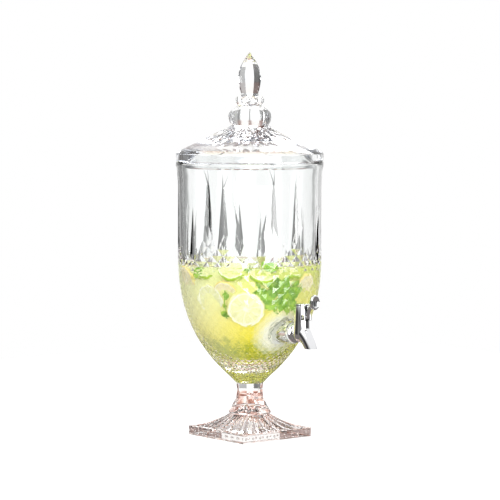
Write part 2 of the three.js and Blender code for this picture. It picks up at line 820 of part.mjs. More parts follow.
const glass = plainMaterial(0xeef3f1, 0.05, 0);
const chrome = plainMaterial(0xc9ccd2, 0.12, 1);
const steel = plainMaterial(0x9da1a6, 0.3, 1);
const silicone = plainMaterial(0xe9ebe8, 0.5, 0);
const whitePlastic = plainMaterial(0xf1f1ec, 0.4, 0);
const darkRubber = plainMaterial(0x2b2b2c, 0.7, 0);

addPiece(part, 'pedestal', pedestalGeometry(), glass.clone());
addPiece(part, 'bowl', bowlGeometry(), glass.clone());
const lid = addPiece(part, 'lid', lidGeometry(), glass.clone());
lid.rotation.z = THREE.MathUtils.degToRad(lidTurn);

const tap = new THREE.Group();
tap.position.set(0, -barrelReach, tapHeight);
part.add(tap);
addPiece(tap, 'tap_body', tapBodyGeometry(), chrome.clone());
addPiece(tap, 'bonnet_cap', capGeometry(), chrome.clone());
addPiece(tap, 'lever', leverGeometry(), chrome.clone());
addPiece(tap, 'lever_pin', pinGeometry(), steel.clone());
addPiece(tap, 'valve_stem', stemGeometry(), steel.clone());
addPiece(tap, 'seat_plug', plugGeometry(), silicone.clone());
addPiece(tap, 'stem_guide', guideGeometry(), whitePlastic.clone());
addPiece(tap, 'stem_seal', sealGeometry(), darkRubber.clone());
addPiece(tap, 'return_spring', springGeometry(), steel.clone());
addPiece(tap, 'outer_washer', washerGeometry(outerWasherRadius, flangeFace + seatGap, bossFace - seatGap),
  silicone.clone());
addPiece(tap, 'inner_washer', washerGeometry(innerWasherRadius, innerSeatFace + seatGap,
  innerSeatFace + seatGap + innerWasherThickness), silicone.clone());
addPiece(tap, 'shank_nut', nutGeometry(), whitePlastic.clone());

export default part;
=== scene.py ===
# Footed cut-glass drink dispenser: studio, glass, tap, lemonade and fruit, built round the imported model.
import math
import random
import bpy
import bmesh
from mathutils import Matrix, Vector
from mathutils.geometry import interpolate_bezier


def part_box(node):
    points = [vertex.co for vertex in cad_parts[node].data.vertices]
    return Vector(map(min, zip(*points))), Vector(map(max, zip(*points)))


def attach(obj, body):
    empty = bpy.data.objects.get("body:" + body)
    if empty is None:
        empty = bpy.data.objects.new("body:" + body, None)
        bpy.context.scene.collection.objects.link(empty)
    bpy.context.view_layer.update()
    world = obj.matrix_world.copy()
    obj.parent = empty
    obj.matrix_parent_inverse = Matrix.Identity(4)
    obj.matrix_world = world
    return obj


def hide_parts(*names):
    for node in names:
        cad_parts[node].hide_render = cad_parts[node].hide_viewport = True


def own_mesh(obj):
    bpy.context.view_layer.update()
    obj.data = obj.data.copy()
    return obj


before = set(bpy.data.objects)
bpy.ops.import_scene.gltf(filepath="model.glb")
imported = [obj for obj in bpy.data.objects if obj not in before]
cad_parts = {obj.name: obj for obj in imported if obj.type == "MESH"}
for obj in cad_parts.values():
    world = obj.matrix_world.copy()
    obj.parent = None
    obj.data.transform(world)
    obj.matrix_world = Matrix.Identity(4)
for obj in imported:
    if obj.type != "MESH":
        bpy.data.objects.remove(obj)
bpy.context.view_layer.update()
mm = 0.001  # meshes are modelled in millimetres and scaled to metres when they are finished
tau = 2 * math.pi
print("frame loaded:", len(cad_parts), "nodes")


class Sizes(dict):
    # a dictionary whose values can be read after a dot
    __getattr__ = dict.__getitem__


# Mesh helpers

def rotated(bm, angle, axis):
    bmesh.ops.rotate(bm, verts=bm.verts, cent=(0, 0, 0), matrix=Matrix.Rotation(angle, 3, axis))
    return bm


def moved(bm, x, y, z):
    bmesh.ops.translate(bm, verts=bm.verts, vec=(x, y, z))
    return bm


def smoothWhere(bm, isSmooth):
    for face in bm.faces:
        face.smooth = isSmooth(face)
    return bm


def roundEdges(bm, edges, radius):
    bmesh.ops.bevel(bm, geom=edges, offset=radius, segments=3, affect="EDGES", profile=0.5, material=-1)


def always(face):
    return True


def isFourSided(face):
    return len(face.verts) == 4


def polar(angle, radius, height=0):
    return Vector((radius * math.cos(angle), radius * math.sin(angle), height))


def weld(bm, reach=0.001):
    bmesh.ops.remove_doubles(bm, verts=bm.verts, dist=reach)


def faceNormals(bm):
    bmesh.ops.recalc_face_normals(bm, faces=bm.faces)


def flatGrid(columns, rows):
    # a flat grid, with the column and row of each of its vertices
    bm = bmesh.new()
    bmesh.ops.create_grid(bm, x_segments=columns, y_segments=rows, size=1)
    spots = {vert: (round((vert.co.x + 1) / 2 * columns), round((vert.co.y + 1) / 2 * rows))
             for vert in bm.verts}
    return bm, spots


def wrappedGrid(columns, rows, place):
    # a grid whose vertex in column i and row j goes to place(i, j), welded where its sides meet
    bm, spots = flatGrid(columns, rows)
    for vert, spot in spots.items():
        vert.co = place(*spot)
    weld(bm)
    return bm


def tube(columns, rows, place):
    # a wrapped grid whose two open ends are filled with flat faces
    bm = wrappedGrid(columns, rows, place)
    bmesh.ops.holes_fill(bm, edges=[edge for edge in bm.edges if edge.is_boundary], sides=0)
    faceNormals(bm)
    return smoothWhere(bm, isFourSided)


def openRing(bm, height):
    # the open edges at about this height
    return [edge for edge in bm.edges if edge.is_boundary
            and all(abs(vert.co.z - height) < 0.01 for vert in edge.verts)]


def carryRing(bm, ring, radius, height):
    # extrudes a ring of open edges to a new radius and height
    made = bmesh.ops.extrude_edge_only(bm, edges=ring)["geom"]
    for vert in made:
        if isinstance(vert, bmesh.types.BMVert):
            flat = Vector((vert.co.x, vert.co.y, 0)).normalized() * radius
            vert.co = (flat.x, flat.y, height)
    return [edge for edge in made if isinstance(edge, bmesh.types.BMEdge) and edge.is_boundary]


def closeRing(bm, ring):
    # an open ring becomes one flat face
    bmesh.ops.contextual_create(bm, geom=ring)


def turned(profile, steps=96, closed=False):
    # spins (radius, height) points about Z; ends on the axis are closed
    bm = bmesh.new()
    verts = [bm.verts.new((radius, 0, height)) for radius, height in profile]
    edges = [bm.edges.new(pair) for pair in zip(verts, verts[1:] + verts[:1] if closed else verts[1:])]
    bmesh.ops.spin(bm, geom=verts + edges, cent=(0, 0, 0), axis=(0, 0, 1), angle=tau, steps=steps,
                   use_merge=True, use_duplicate=False)
    weld(bm)
    faceNormals(bm)
    return smoothWhere(bm, always)


def roundedRim(radius, low, high, edge):
    # profile points of a rim between two heights, three round each of its corners
    steps = ((1, 0), (0.3, 0.3), (0, 1))
    return ([(radius - edge * inward, low + edge * upward) for inward, upward in steps]
            + [(radius - edge * inward, high - edge * down) for inward, down in reversed(steps)])


def looseObject(bm, name):
    mesh = bpy.data.meshes.new(name)
    bm.to_mesh(mesh)
    bm.free()
    loose = bpy.data.objects.new(name, mesh)
    bpy.context.scene.collection.objects.link(loose)
    return loose


def combined(bm, other, operation):
    # the union, difference or intersection of two closed meshes
    first = looseObject(bm, "first")
    second = looseObject(other, "second")
    step = first.modifiers.new("combine", "BOOLEAN")
    step.operation = operation
    step.solver = "EXACT"
    step.use_self = operation == "UNION"
    step.object = second
    result = bmesh.new()
    result.from_object(first, bpy.context.evaluated_depsgraph_get())
    for loose in (first, second):
        mesh = loose.data
        bpy.data.objects.remove(loose)
        bpy.data.meshes.remove(mesh)
    return result


def joined(bm, *others):
    for other in others:
        bm = combined(bm, other, "UNION")
    return bm


def cutBy(bm, *others):
    for other in others:
        bm = combined(bm, other, "DIFFERENCE")
    return bm


def finishPiece(bm, name, material, body="root", stands=(), sharpAngle=28):
    for edge in bm.edges:
        if len(edge.link_faces) == 2:
            edge.smooth = edge.calc_face_angle() < math.radians(sharpAngle)
    bmesh.ops.scale(bm, vec=(mm, mm, mm), verts=bm.verts)
    piece = looseObject(bm, name)
    piece.data.materials.append(material)
    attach(piece, body)
    if stands:
        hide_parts(*stands)
    return piece


# Shader helpers

def toneOf(level):
    # a colour with its alpha; one number is a grey
    return (*level, 1) if isinstance(level, tuple) else (level, level, level, 1)


class Nodes:
    # short ways to add nodes to a tree; what goes into a socket is a value or another node's output
    def __init__(self, tree):
        self.tree = tree

    def add(self, kind, **values):
        node = self.tree.nodes.new("ShaderNode" + kind)
        for key, value in values.items():
            setattr(node, key, value)
        return node

    def put(self, value, socket):
        if isinstance(value, bpy.types.NodeSocket):
            self.tree.links.new(value, socket)
        else:
            socket.default_value = toneOf(value) if socket.type == "RGBA" else value

    def fill(self, node, **values):
        # values for the inputs of these names
        for name, value in values.items():
            self.put(value, node.inputs[name.replace("_", " ")])
        return node.outputs

    def made(self, kind, values, output=0, **settings):
        # an output of a new node that has these values in its first inputs
        node = self.add(kind, **settings)
        for socket, value in zip(node.inputs, values):
            self.put(value, socket)
        return node.outputs[output]

    def sums(self, operation, *values):
        return self.made("Math", values, operation=operation)

    def measure(self, operation, *vectors):
        return self.made("VectorMath", vectors, "Value", operation=operation)

    def parts(self, vector):
        return self.fill(self.add("SeparateXYZ"), Vector=vector)

    def span(self, value, low, high, fromLow=0.0, fromHigh=1.0, easing="LINEAR"):
        return self.made("MapRange", (value, fromLow, fromHigh, low, high), interpolation_type=easing)

    def mixed(self, share, first, second, blending="MIX"):
        node = self.add("Mix", data_type="RGBA", blend_type=blending)
        return self.fill(node, Factor=share, A=first, B=second)["Result"]

    def ramp(self, value, stops, easing="LINEAR"):
        node = self.add("ValToRGB")
        node.color_ramp.interpolation = easing
        points = node.color_ramp.elements
        while len(points) < len(stops):
            points.new(0.5)
        for point, (place, level) in zip(points, stops):
            point.position = place
            point.color = toneOf(level)
        return self.fill(node, Fac=value)["Color"]


class Look(Nodes):
    # a new material with its Principled shader
    def __init__(self, name):
        self.material = bpy.data.materials.new(name)
        self.material.use_nodes = True
        super().__init__(self.material.node_tree)
        self.shader = self.tree.nodes["Principled BSDF"]
        self.surface = self.tree.nodes["Material Output"].inputs["Surface"]
        self.where = self.add("TexCoord").outputs["Object"]

    def set(self, **values):
        self.fill(self.shader, **values)

    def noise(self, scale, detail=3, roughness=0.5):
        node = self.add("TexNoise")
        return self.fill(node, Vector=self.where, Scale=scale, Detail=detail, Roughness=roughness)["Fac"]

    def gloss(self, noise, low, high):
        # roughness that wanders between two values
        self.set(Roughness=self.span(noise, low, high))

    def bump(self, height, strength, distance):
        made = self.fill(self.add("Bump"), Strength=strength, Distance=distance, Height=height)
        self.set(Normal=made["Normal"])


# Studio: camera, world, floor and lamps

studio = Sizes(
    azimuth=-39, distance=2.8, cameraHeight=0.42, aimHeight=0.2142, aimRight=0.0003, lens=176.3, sensor=36,
    # upright panels behind the glass, and the panels that metal and glass mirror
    panels=Sizes(period=45, turn=6, tones=[(0.0, 0.15), (0.25, 0.27), (0.45, 0.42), (0.67, 1.17)]),
    risingPanels=Sizes(period=45, turn=6, tones=[(0.0, (0.13, 0.075, 0.065)), (0.25, (0.26, 0.16, 0.14)),
                                                 (0.56, (0.46, 0.31, 0.285)), (0.88, (1.12, 1.07, 1.05))]),
    mirror=Sizes(period=360, turn=-50, tones=[(0.0, 0.1), (0.05, 0.05), (0.1, 0.3), (0.16, 0.04), (0.4, 0.05),
                                              (0.48, 0.28), (0.56, 0.04), (0.74, 0.16), (0.88, 0.9),
                                              (1.0, 1.1)]),
    fill=Sizes(toward=97, spread=42, share=0.45, level=1.0),
    shade=Sizes(toward=-12, spread=19, share=0.85, level=0.1),
    window=Sizes(toward=186, spread=17, low=-0.14, high=0.55, level=8.5),
    softEdge=2,
    # by the height that a ray points to: 1 is plain pale wall, 0 shows the panels
    bands=[(0.22, 1), (0.27, 0), (0.55, 0), (0.59, 0.1), (0.65, 0.1), (0.72, 0), (0.84, 0), (0.9, 1)],
    mirrorBands=[(0.6, 0), (0.72, 1)],
    rising=[(0.54, 0), (0.58, 1)],
    evenLight=1.22, plainWall=1.0,
    floorSide=1.6, floorDrop=0.0005, floorGlow=0.62, floorBounce=0.55, floorShade=0.42,
    floorMirror=(0.17, 0.155, 0.15), floorAway=(0.93, 0.92, 0.91),
    blushReach=0.28, blushFade=1.6, blushScale=55,
    floorTones=[(0.36, (0.22, 0.07, 0.045)), (0.45, (0.6, 0.3, 0.23)), (0.54, (0.88, 0.66, 0.6)),
                (0.62, (1, 0.95, 0.93))],
)
lamps = {
    "key": Sizes(right=-0.9, near=1.1, height=1.5, wide=0.7, tall=0.7, power=7),
    "front": Sizes(right=0.25, near=1.35, height=0.5, wide=0.6, tall=0.6, power=8),
    "back": Sizes(right=0.35, near=-1.2, height=1.3, wide=0.9, tall=0.4, power=8),
}
lampAim = 0.22
azimuth = math.radians(studio.azimuth)
rightWay = Vector((math.cos(azimuth), math.sin(azimuth), 0))
nearWay = Vector((math.sin(azimuth), -math.cos(azimuth), 0))


def placed(name, data, spot, aim):
    # a camera or lamp at this spot that looks at this point
    item = bpy.data.objects.new(name, data)
    bpy.context.scene.collection.objects.link(item)
    item.location = spot
    item.rotation_euler = (aim - item.location).to_track_quat("-Z", "Y").to_euler()
    return item


def makeCamera(s):
    data = bpy.data.cameras.new("camera")
    data.lens = s.lens
    data.sensor_width = s.sensor
    spot = nearWay * s.distance + Vector((0, 0, s.cameraHeight))
    aim = rightWay * s.aimRight + Vector((0, 0, s.aimHeight))
    bpy.context.scene.camera = placed("camera", data, spot, aim)


def makeWorld(s):
    # white for the camera, even for diffuse light, upright pale and dark panels for glass and metal
    world = bpy.data.worlds.new("studio")
    world.use_nodes = True
    bpy.context.scene.world = world
    world.node_tree.nodes.clear()
    sky = Nodes(world.node_tree)
    x, y, rise = sky.parts(sky.add("TexCoord").outputs["Generated"])
    around = sky.sums("ARCTAN2", x, y)
    seen = sky.add("LightPath").outputs

    def panels(item):
        wave = sky.sums("MULTIPLY", sky.sums("ADD", around, math.radians(item.turn)), 360 / item.period)
        share = sky.sums("MULTIPLY", sky.sums("ADD", sky.sums("COSINE", wave), 1), 0.5)
        return sky.ramp(share, item.tones, "EASE")

    def nearness(item):
        # 1 toward the item's direction, 0 beyond its spread
        away = sky.sums("SUBTRACT", around, math.radians(item.toward))
        away = sky.sums("ABSOLUTE", sky.sums("WRAP", away, tau / 2, -tau / 2))
        ends = [math.radians(item.spread + side * s.softEdge) for side in (1, -1)]
        return sky.span(away, 0, 1, *ends, "SMOOTHSTEP")

    def heightRamp(stops):
        return sky.ramp(sky.sums("MULTIPLY_ADD", rise, 0.5, 0.5), stops)

    through = sky.mixed(heightRamp(s.rising), panels(s.panels), panels(s.risingPanels))
    for item in (s.fill, s.shade):
        through = sky.mixed(sky.sums("MULTIPLY", nearness(item), item.share), through, item.level)
    lit = sky.sums("MULTIPLY", nearness(s.window), sky.sums("GREATER_THAN", rise, s.window.low))
    lit = sky.sums("MULTIPLY", lit, sky.sums("LESS_THAN", rise, s.window.high))
    mirrored = sky.mixed(lit, panels(s.mirror), s.window.level)
    first = sky.sums("LESS_THAN", seen["Transmission Depth"], 0.5)
    first = sky.sums("MULTIPLY", first, seen["Is Reflection Ray"])
    plain = sky.mixed(first, heightRamp(s.bands), heightRamp(s.mirrorBands))
    room = sky.mixed(plain, sky.mixed(first, through, mirrored), s.plainWall)
    room = sky.mixed(sky.sums("MINIMUM", seen["Diffuse Depth"], 1), room, s.evenLight)
    room = sky.mixed(seen["Is Camera Ray"], room, 1.0)
    sky.put(sky.made("Background", [room]), sky.add("OutputWorld").inputs[0])


def makeFloor(s):
    # white to the camera and to diffuse light, blush and salmon through the glass, grey in mirrors
    look = Look("paleFloor")
    look.tree.nodes.remove(look.shader)
    seen = look.add("LightPath").outputs
    bounced = look.sums("MINIMUM", seen["Diffuse Depth"], 1)
    even = look.sums("MAXIMUM", seen["Is Camera Ray"], bounced)
    away = look.span(look.measure("LENGTH", look.where), 0, 1, s.blushReach, s.blushReach * s.blushFade)
    rosy = look.mixed(away, look.ramp(look.noise(s.blushScale, 2), s.floorTones), s.floorAway)
    mirrored = look.sums("LESS_THAN", seen["Transmission Depth"], 0.5)
    tone = look.mixed(even, look.mixed(mirrored, rosy, s.floorMirror), 1.0)
    glow = look.made("Emission", [tone, look.sums("MULTIPLY_ADD", bounced, s.floorBounce, s.floorGlow)])
    shade = look.made("BsdfDiffuse", [look.mixed(1.0, tone, s.floorShade, "MULTIPLY")])
    look.put(look.made("AddShader", [glow, shade]), look.surface)
    bm = bmesh.new()
    bmesh.ops.create_grid(bm, x_segments=8, y_segments=8, size=s.floorSide / 2)
    floor = looseObject(moved(bm, 0, 0, -s.floorDrop), "floor")
    floor.data.materials.append(look.material)


def makeLamps():
    for name, lamp in lamps.items():
        data = bpy.data.lights.new(name, "AREA")
        data.shape = "RECTANGLE"
        data.size, data.size_y = lamp.wide, lamp.tall
        data.energy = lamp.power
        spot = rightWay * lamp.right + nearWay * lamp.near + Vector((0, 0, lamp.height))
        placed(name, data, spot, Vector((0, 0, lampAim)))


bpy.context.scene.view_settings.view_transform = "Standard"
makeCamera(studio)
makeWorld(studio)
makeFloor(studio)
makeLamps()
print("studio ready")


# Finishes of the glass, metal, rubber and plastic

def letShadowsPass(look, tint, turns, caughtShade):
    # lamps light what is inside: shadow rays go straight on, and so do rays caught inside the glass, which
    # take the caughtShade colour, a painted shade
    seen = look.add("LightPath").outputs
    shadow = seen["Is Shadow Ray"]
    clear = look.made("BsdfTransparent", [look.mixed(shadow, caughtShade, tint)])
    either = look.sums("MAXIMUM", shadow, look.sums("GREATER_THAN", seen["Ray Depth"], turns))
    look.put(look.made("MixShader", [either, look.shader.outputs[0], clear]), look.surface)


def clearGlass(name, turns, caughtShade, dim=1.0):
    look = Look(name)
    # dim darkens the glass's own tint; below 1 it is painted shade, for the lid's shaded copy of the glass
    tints = [(0.3, (0.955 * dim, 0.97 * dim, 0.965 * dim)), (0.7, (0.985 * dim, 0.99 * dim, 0.988 * dim))]
    look.set(IOR=1.5, Transmission_Weight=1.0, Base_Color=look.ramp(look.noise(14, 2), tints))
    look.gloss(look.noise(40, 4), 0.0, 0.03)
    look.bump(look.noise(55, 2), 0.08, 0.0006)
    letShadowsPass(look, (0.93, 0.94, 0.94), turns, caughtShade)
    return look.material


def metal(name, pale, dark, rough, grain):
    look = Look(name)
    look.set(Metallic=1.0, Base_Color=look.ramp(look.noise(grain, 4), [(0.35, dark), (0.65, pale)]))
    look.gloss(look.noise(grain * 3, 5, 0.6), *rough)
    look.bump(look.noise(grain * 8, 3), 0.05, 0.0002)
    return look.material


def soft(name, pale, dark, rough, clearness=0.0):
    look = Look(name)
    look.set(Transmission_Weight=clearness, IOR=1.41,
             Base_Color=look.ramp(look.noise(180, 3), [(0.3, dark), (0.7, pale)]))
    look.gloss(look.noise(300, 4), *rough)
    look.bump(look.noise(900, 2), 0.15, 0.0002)
    return look.material


caughtTone = (0.93, 0.94, 0.94)
glass = clearGlass("clearGlass", 9, caughtTone)
# the lid's glass is a shaded copy of the bowl's: painted shade in its dimmed tint and in the dark blue-grey
# of the rays caught inside it
shadedLidGlass = clearGlass("lidGlassPaintedShade", 5, (0.60, 0.63, 0.69), 0.975)
chrome = metal("chrome", (0.88, 0.885, 0.9), (0.82, 0.825, 0.84), (0.015, 0.045), 60)
steel = metal("steel", (0.72, 0.73, 0.74), (0.6, 0.61, 0.62), (0.22, 0.34), 120)
silicone = soft("silicone", (0.97, 0.975, 0.96), (0.93, 0.935, 0.92), (0.35, 0.5), 0.5)
whitePlastic = soft("whitePlastic", (0.93, 0.93, 0.91), (0.88, 0.88, 0.86), (0.25, 0.4))
darkRubber = soft("darkRubber", (0.05, 0.05, 0.052), (0.03, 0.03, 0.03), (0.5, 0.7))


# Bowl: spears and diamonds cut in the outside, one smooth hollow inside, boss and seat for the tap

bowlSizes = Sizes(
    foot=62.0, rim=316.0, radius=82.2, wall=5.0, rimRound=1.6,
    floor=88.0, shoulder=213.0, curveFoot=58.0, neck=15.0,
    power=2.4, outerFull=0.765, innerFull=0.5, flare=2.3, flareDrop=26.0, bead=4.0,
    spears=12, perSpear=3, spearHalf=5.5, spearDepth=2.3, spearTip=0.6, widest=0.2,
    tallTop=306.0, shortTop=266.0, latticeTop=220.0, latticeFoot=76.0,
    stepRows=4, shortRow=3, diamondShare=0.45,
    tapHeight=125.5, bossReach=78.5, bossRadius=12.6, bossRoot=13.8, bossRound=0.9,
    hole=6.5, seatReach=52.0, seatRadius=16.0,
    # how far the shapes that cut run past what they cut
    hollowOver=6.0, cutOver=4.0, holeIn=30.0,
    hollowShares=[0, 0.003, 0.01, 0.02, 0.035, 0.055, 0.08, 0.11, 0.15, 0.2, 0.26, 0.33, 0.41, 0.5, 0.6, 0.71,
                  0.84, 1],
)


def fullness(s, height, foot, power):
    rise = min(1, max(0, (height - foot) / (s.shoulder - foot)))
    return (1 - (1 - rise) ** s.power) ** power


def flareAt(s, height):
    share = min(1, max(0, (height - s.rim + s.flareDrop) / (s.flareDrop - s.bead)))
    return s.flare * share * share


def rimDrop(s, height):
    # how far the rounded rim draws back from the wall's face
    above = max(0, height - s.rim + s.rimRound)
    return s.rimRound - math.sqrt(max(0, s.rimRound ** 2 - above ** 2))


def outerRadius(s, height):
    curve = s.radius * fullness(s, height, s.curveFoot, s.outerFull)
    return (curve ** 3 + s.neck ** 3) ** (1 / 3) + flareAt(s, height) - rimDrop(s, height)


def innerRadius(s, height):
    curve = (s.radius - s.wall) * fullness(s, height, s.floor, s.innerFull)
    return curve + flareAt(s, height) + rimDrop(s, height)


def latticeRows(s):
    halfTurns = 2 * s.spears * s.perSpear
    rows = [s.latticeTop]
    while rows[-1] > s.latticeFoot:
        step = tau * outerRadius(s, rows[-1]) / halfTurns
        lean = (outerRadius(s, rows[-1]) - outerRadius(s, rows[-1] - step)) / step
        rows.append(rows[-1] - step / math.hypot(1, lean))
    return rows


def spearWidth(s, height, foot, top):
    if height <= foot or height >= top:
        return 0
    widest = foot + (top - foot) * s.widest
    share = (height - foot) / (widest - foot) if height < widest else (top - height) / (top - widest)
    return s.spearHalf * share


def bowlOutside(s):
    perSpear = 2 * s.perSpear
    columns = s.spears * perSpear
    lattice = latticeRows(s)
    shortFoot = lattice[s.shortRow]
    widest = s.latticeTop + (s.tallTop - s.latticeTop) * s.widest
    rimRows = [s.rim - s.bead, s.rim - s.rimRound, s.rim - 0.35 * s.rimRound, s.rim]
    neck = [s.foot, (s.foot + lattice[-1]) / 2]
    upper = [widest, s.shortTop, s.rim - s.flareDrop, s.tallTop]
    heights = sorted(neck + lattice + upper + rimRows)
    rowOf = {height: row for row, height in enumerate(lattice)}

    def isCrossing(column, row):
        return (column + row) % 2 == 1

    def isCut(column, row):
        along = column % (2 * perSpear)
        offset = min(along, 2 * perSpear - along)
        return s.stepRows * offset / perSpear < row < len(lattice) - 1

    def isPit(column, row):
        near = ((column + 1, row), (column - 1, row), (column, row - 1), (column, row + 1))
        return row >= 0 and not isCrossing(column, row) and any(isCut(*spot) for spot in near)

    def place(column, level):
        height = heights[level]
        radius = outerRadius(s, height)
        spear = round(column / perSpear)
        side = column - spear * perSpear
        foot, top = (shortFoot, s.shortTop) if spear % 2 else (s.latticeTop, s.tallTop)
        width = spearWidth(s, height, foot, top)
        angle, depth = tau * column / columns, 0
        if isPit(column, rowOf.get(height, -1)):
            depth = s.diamondShare * math.pi * radius / columns
        elif width > 0 and abs(side) <= 1:
            angle = tau * spear / s.spears + side * max(width, s.spearTip) / radius
            depth = 0 if side else s.spearDepth * width / s.spearHalf
        angle -= tau / 4
        return polar(angle, radius - depth, height)

    def isUncut(face):
        return max(outerRadius(s, vert.co.z) - vert.co.xy.length for vert in face.verts) < 0.02

    bm, spots = flatGrid(columns, len(heights) - 1)
    for face in list(bm.faces):
        column = min(spots[vert][0] for vert in face.verts)
        level = min(spots[vert][1] for vert in face.verts)
        row = rowOf.get(heights[level], -1)
        leansLeft = row > 0 and not isCrossing(column, row)
        rising = [vert for vert in face.verts if spots[vert][0] - column == spots[vert][1] - level]
        falling = [vert for vert in face.verts if vert not in rising]
        bmesh.utils.face_split(face, *(falling if leansLeft else rising))
    for vert, spot in spots.items():
        vert.co = place(*spot)
    smoothWhere(bm, isUncut)
    weld(bm, 0.01)
    for height in (s.foot, s.rim):
        closeRing(bm, openRing(bm, height))
    faceNormals(bm)
    return bm


def levelRound(lowRadius, highRadius, lowReach, highReach, height, steps=48, edge=0.0):
    # a round bar along -Y at this height, between two reaches from the axis
    bm = bmesh.new()
    bmesh.ops.create_cone(bm, cap_ends=True, segments=steps, radius1=lowRadius, radius2=highRadius,
                          depth=highReach - lowReach)
    smoothWhere(bm, isFourSided)
    if edge:
        roundEdges(bm, [side for side in bm.edges if all(vert.co.z > 0 for vert in side.verts)], edge)
    return moved(rotated(bm, tau / 4, "X"), 0, -(lowReach + highReach) / 2, height)


def makeBowl(s):
    heights = [s.floor + (s.shoulder - s.floor) * share for share in s.hollowShares]
    heights += [s.rim - s.flareDrop + s.flareDrop * share for share in (0, 0.25, 0.5, 0.75)]
    heights += [s.rim - s.rimRound * share for share in (1, 0.5, 0.2, 0)]
    profile = [(innerRadius(s, height), height) for height in heights]
    profile += [(profile[-1][0], s.rim + s.hollowOver), (0, s.rim + s.hollowOver)]
    reach = s.bossReach + s.cutOver
    pad = levelRound(s.seatRadius, s.seatRadius, s.seatReach, reach, s.tapHeight)
    hollow = cutBy(turned(profile, 144), pad)
    boss = levelRound(s.bossRoot, s.bossRadius, s.seatReach, s.bossReach, s.tapHeight, edge=s.bossRound)
    hole = levelRound(s.hole, s.hole, s.seatReach - s.holeIn, reach, s.tapHeight, 32)
    whole = cutBy(joined(bowlOutside(s), boss), hollow, hole)
    finishPiece(whole, "glassBowl", glass, stands=("bowl",))


makeBowl(bowlSizes)
print("bowl ready")


# Lid: edge, plain band, sunburst cuts, lobed knob, ring of beads and faceted bud in one piece of glass

lidSizes = Sizes(
    seat=316.3, edgeHeight=9.7, edgeRound=1.6, radius=84.5, slope=0.471, thickness=5.0,
    lipRadius=76.6, lipThickness=4.0, lipDepth=7.5,
    rays=24, rayDepth=1.5, rayEnd=55.9, rayStart=25.0, rayLow=58.0, finialBase=20.0,
    # steps along a ray: place, share of the full width and of the full depth
    rayShape=[(0, 0.03, 0), (0.07, 0.3, 0.35), (0.2, 0.55, 0.8), (0.42, 0.8, 1), (0.7, 0.93, 1),
              (1, 0.96, 0.6)],
    lobes=6, lobePower=0.75, knobRadius=24.7, knobHeight=22.0, knobCrease=3.2, knobTop=14.0,
    knobShape=[(0, 0.86), (0.1, 0.92), (0.2, 0.965), (0.33, 0.99), (0.45, 1), (0.58, 0.985), (0.7, 0.93),
               (0.8, 0.84), (0.88, 0.74), (0.95, 0.64)],
    beads=8, beadRadius=5.2, beadCircle=12.2, beadRing=12.5,
    facets=8, budNeck=10.3, budRadius=14.1, budHeight=48.3, tip=0.65,
    budShape=[(0.04, 0.74), (0.08, 0.8), (0.2, 0.91), (0.31, 0.97), (0.42, 1), (0.54, 0.93), (0.66, 0.8),
              (0.77, 0.61), (0.87, 0.38), (0.95, 0.16)],
    turn=-41, columns=96,
)


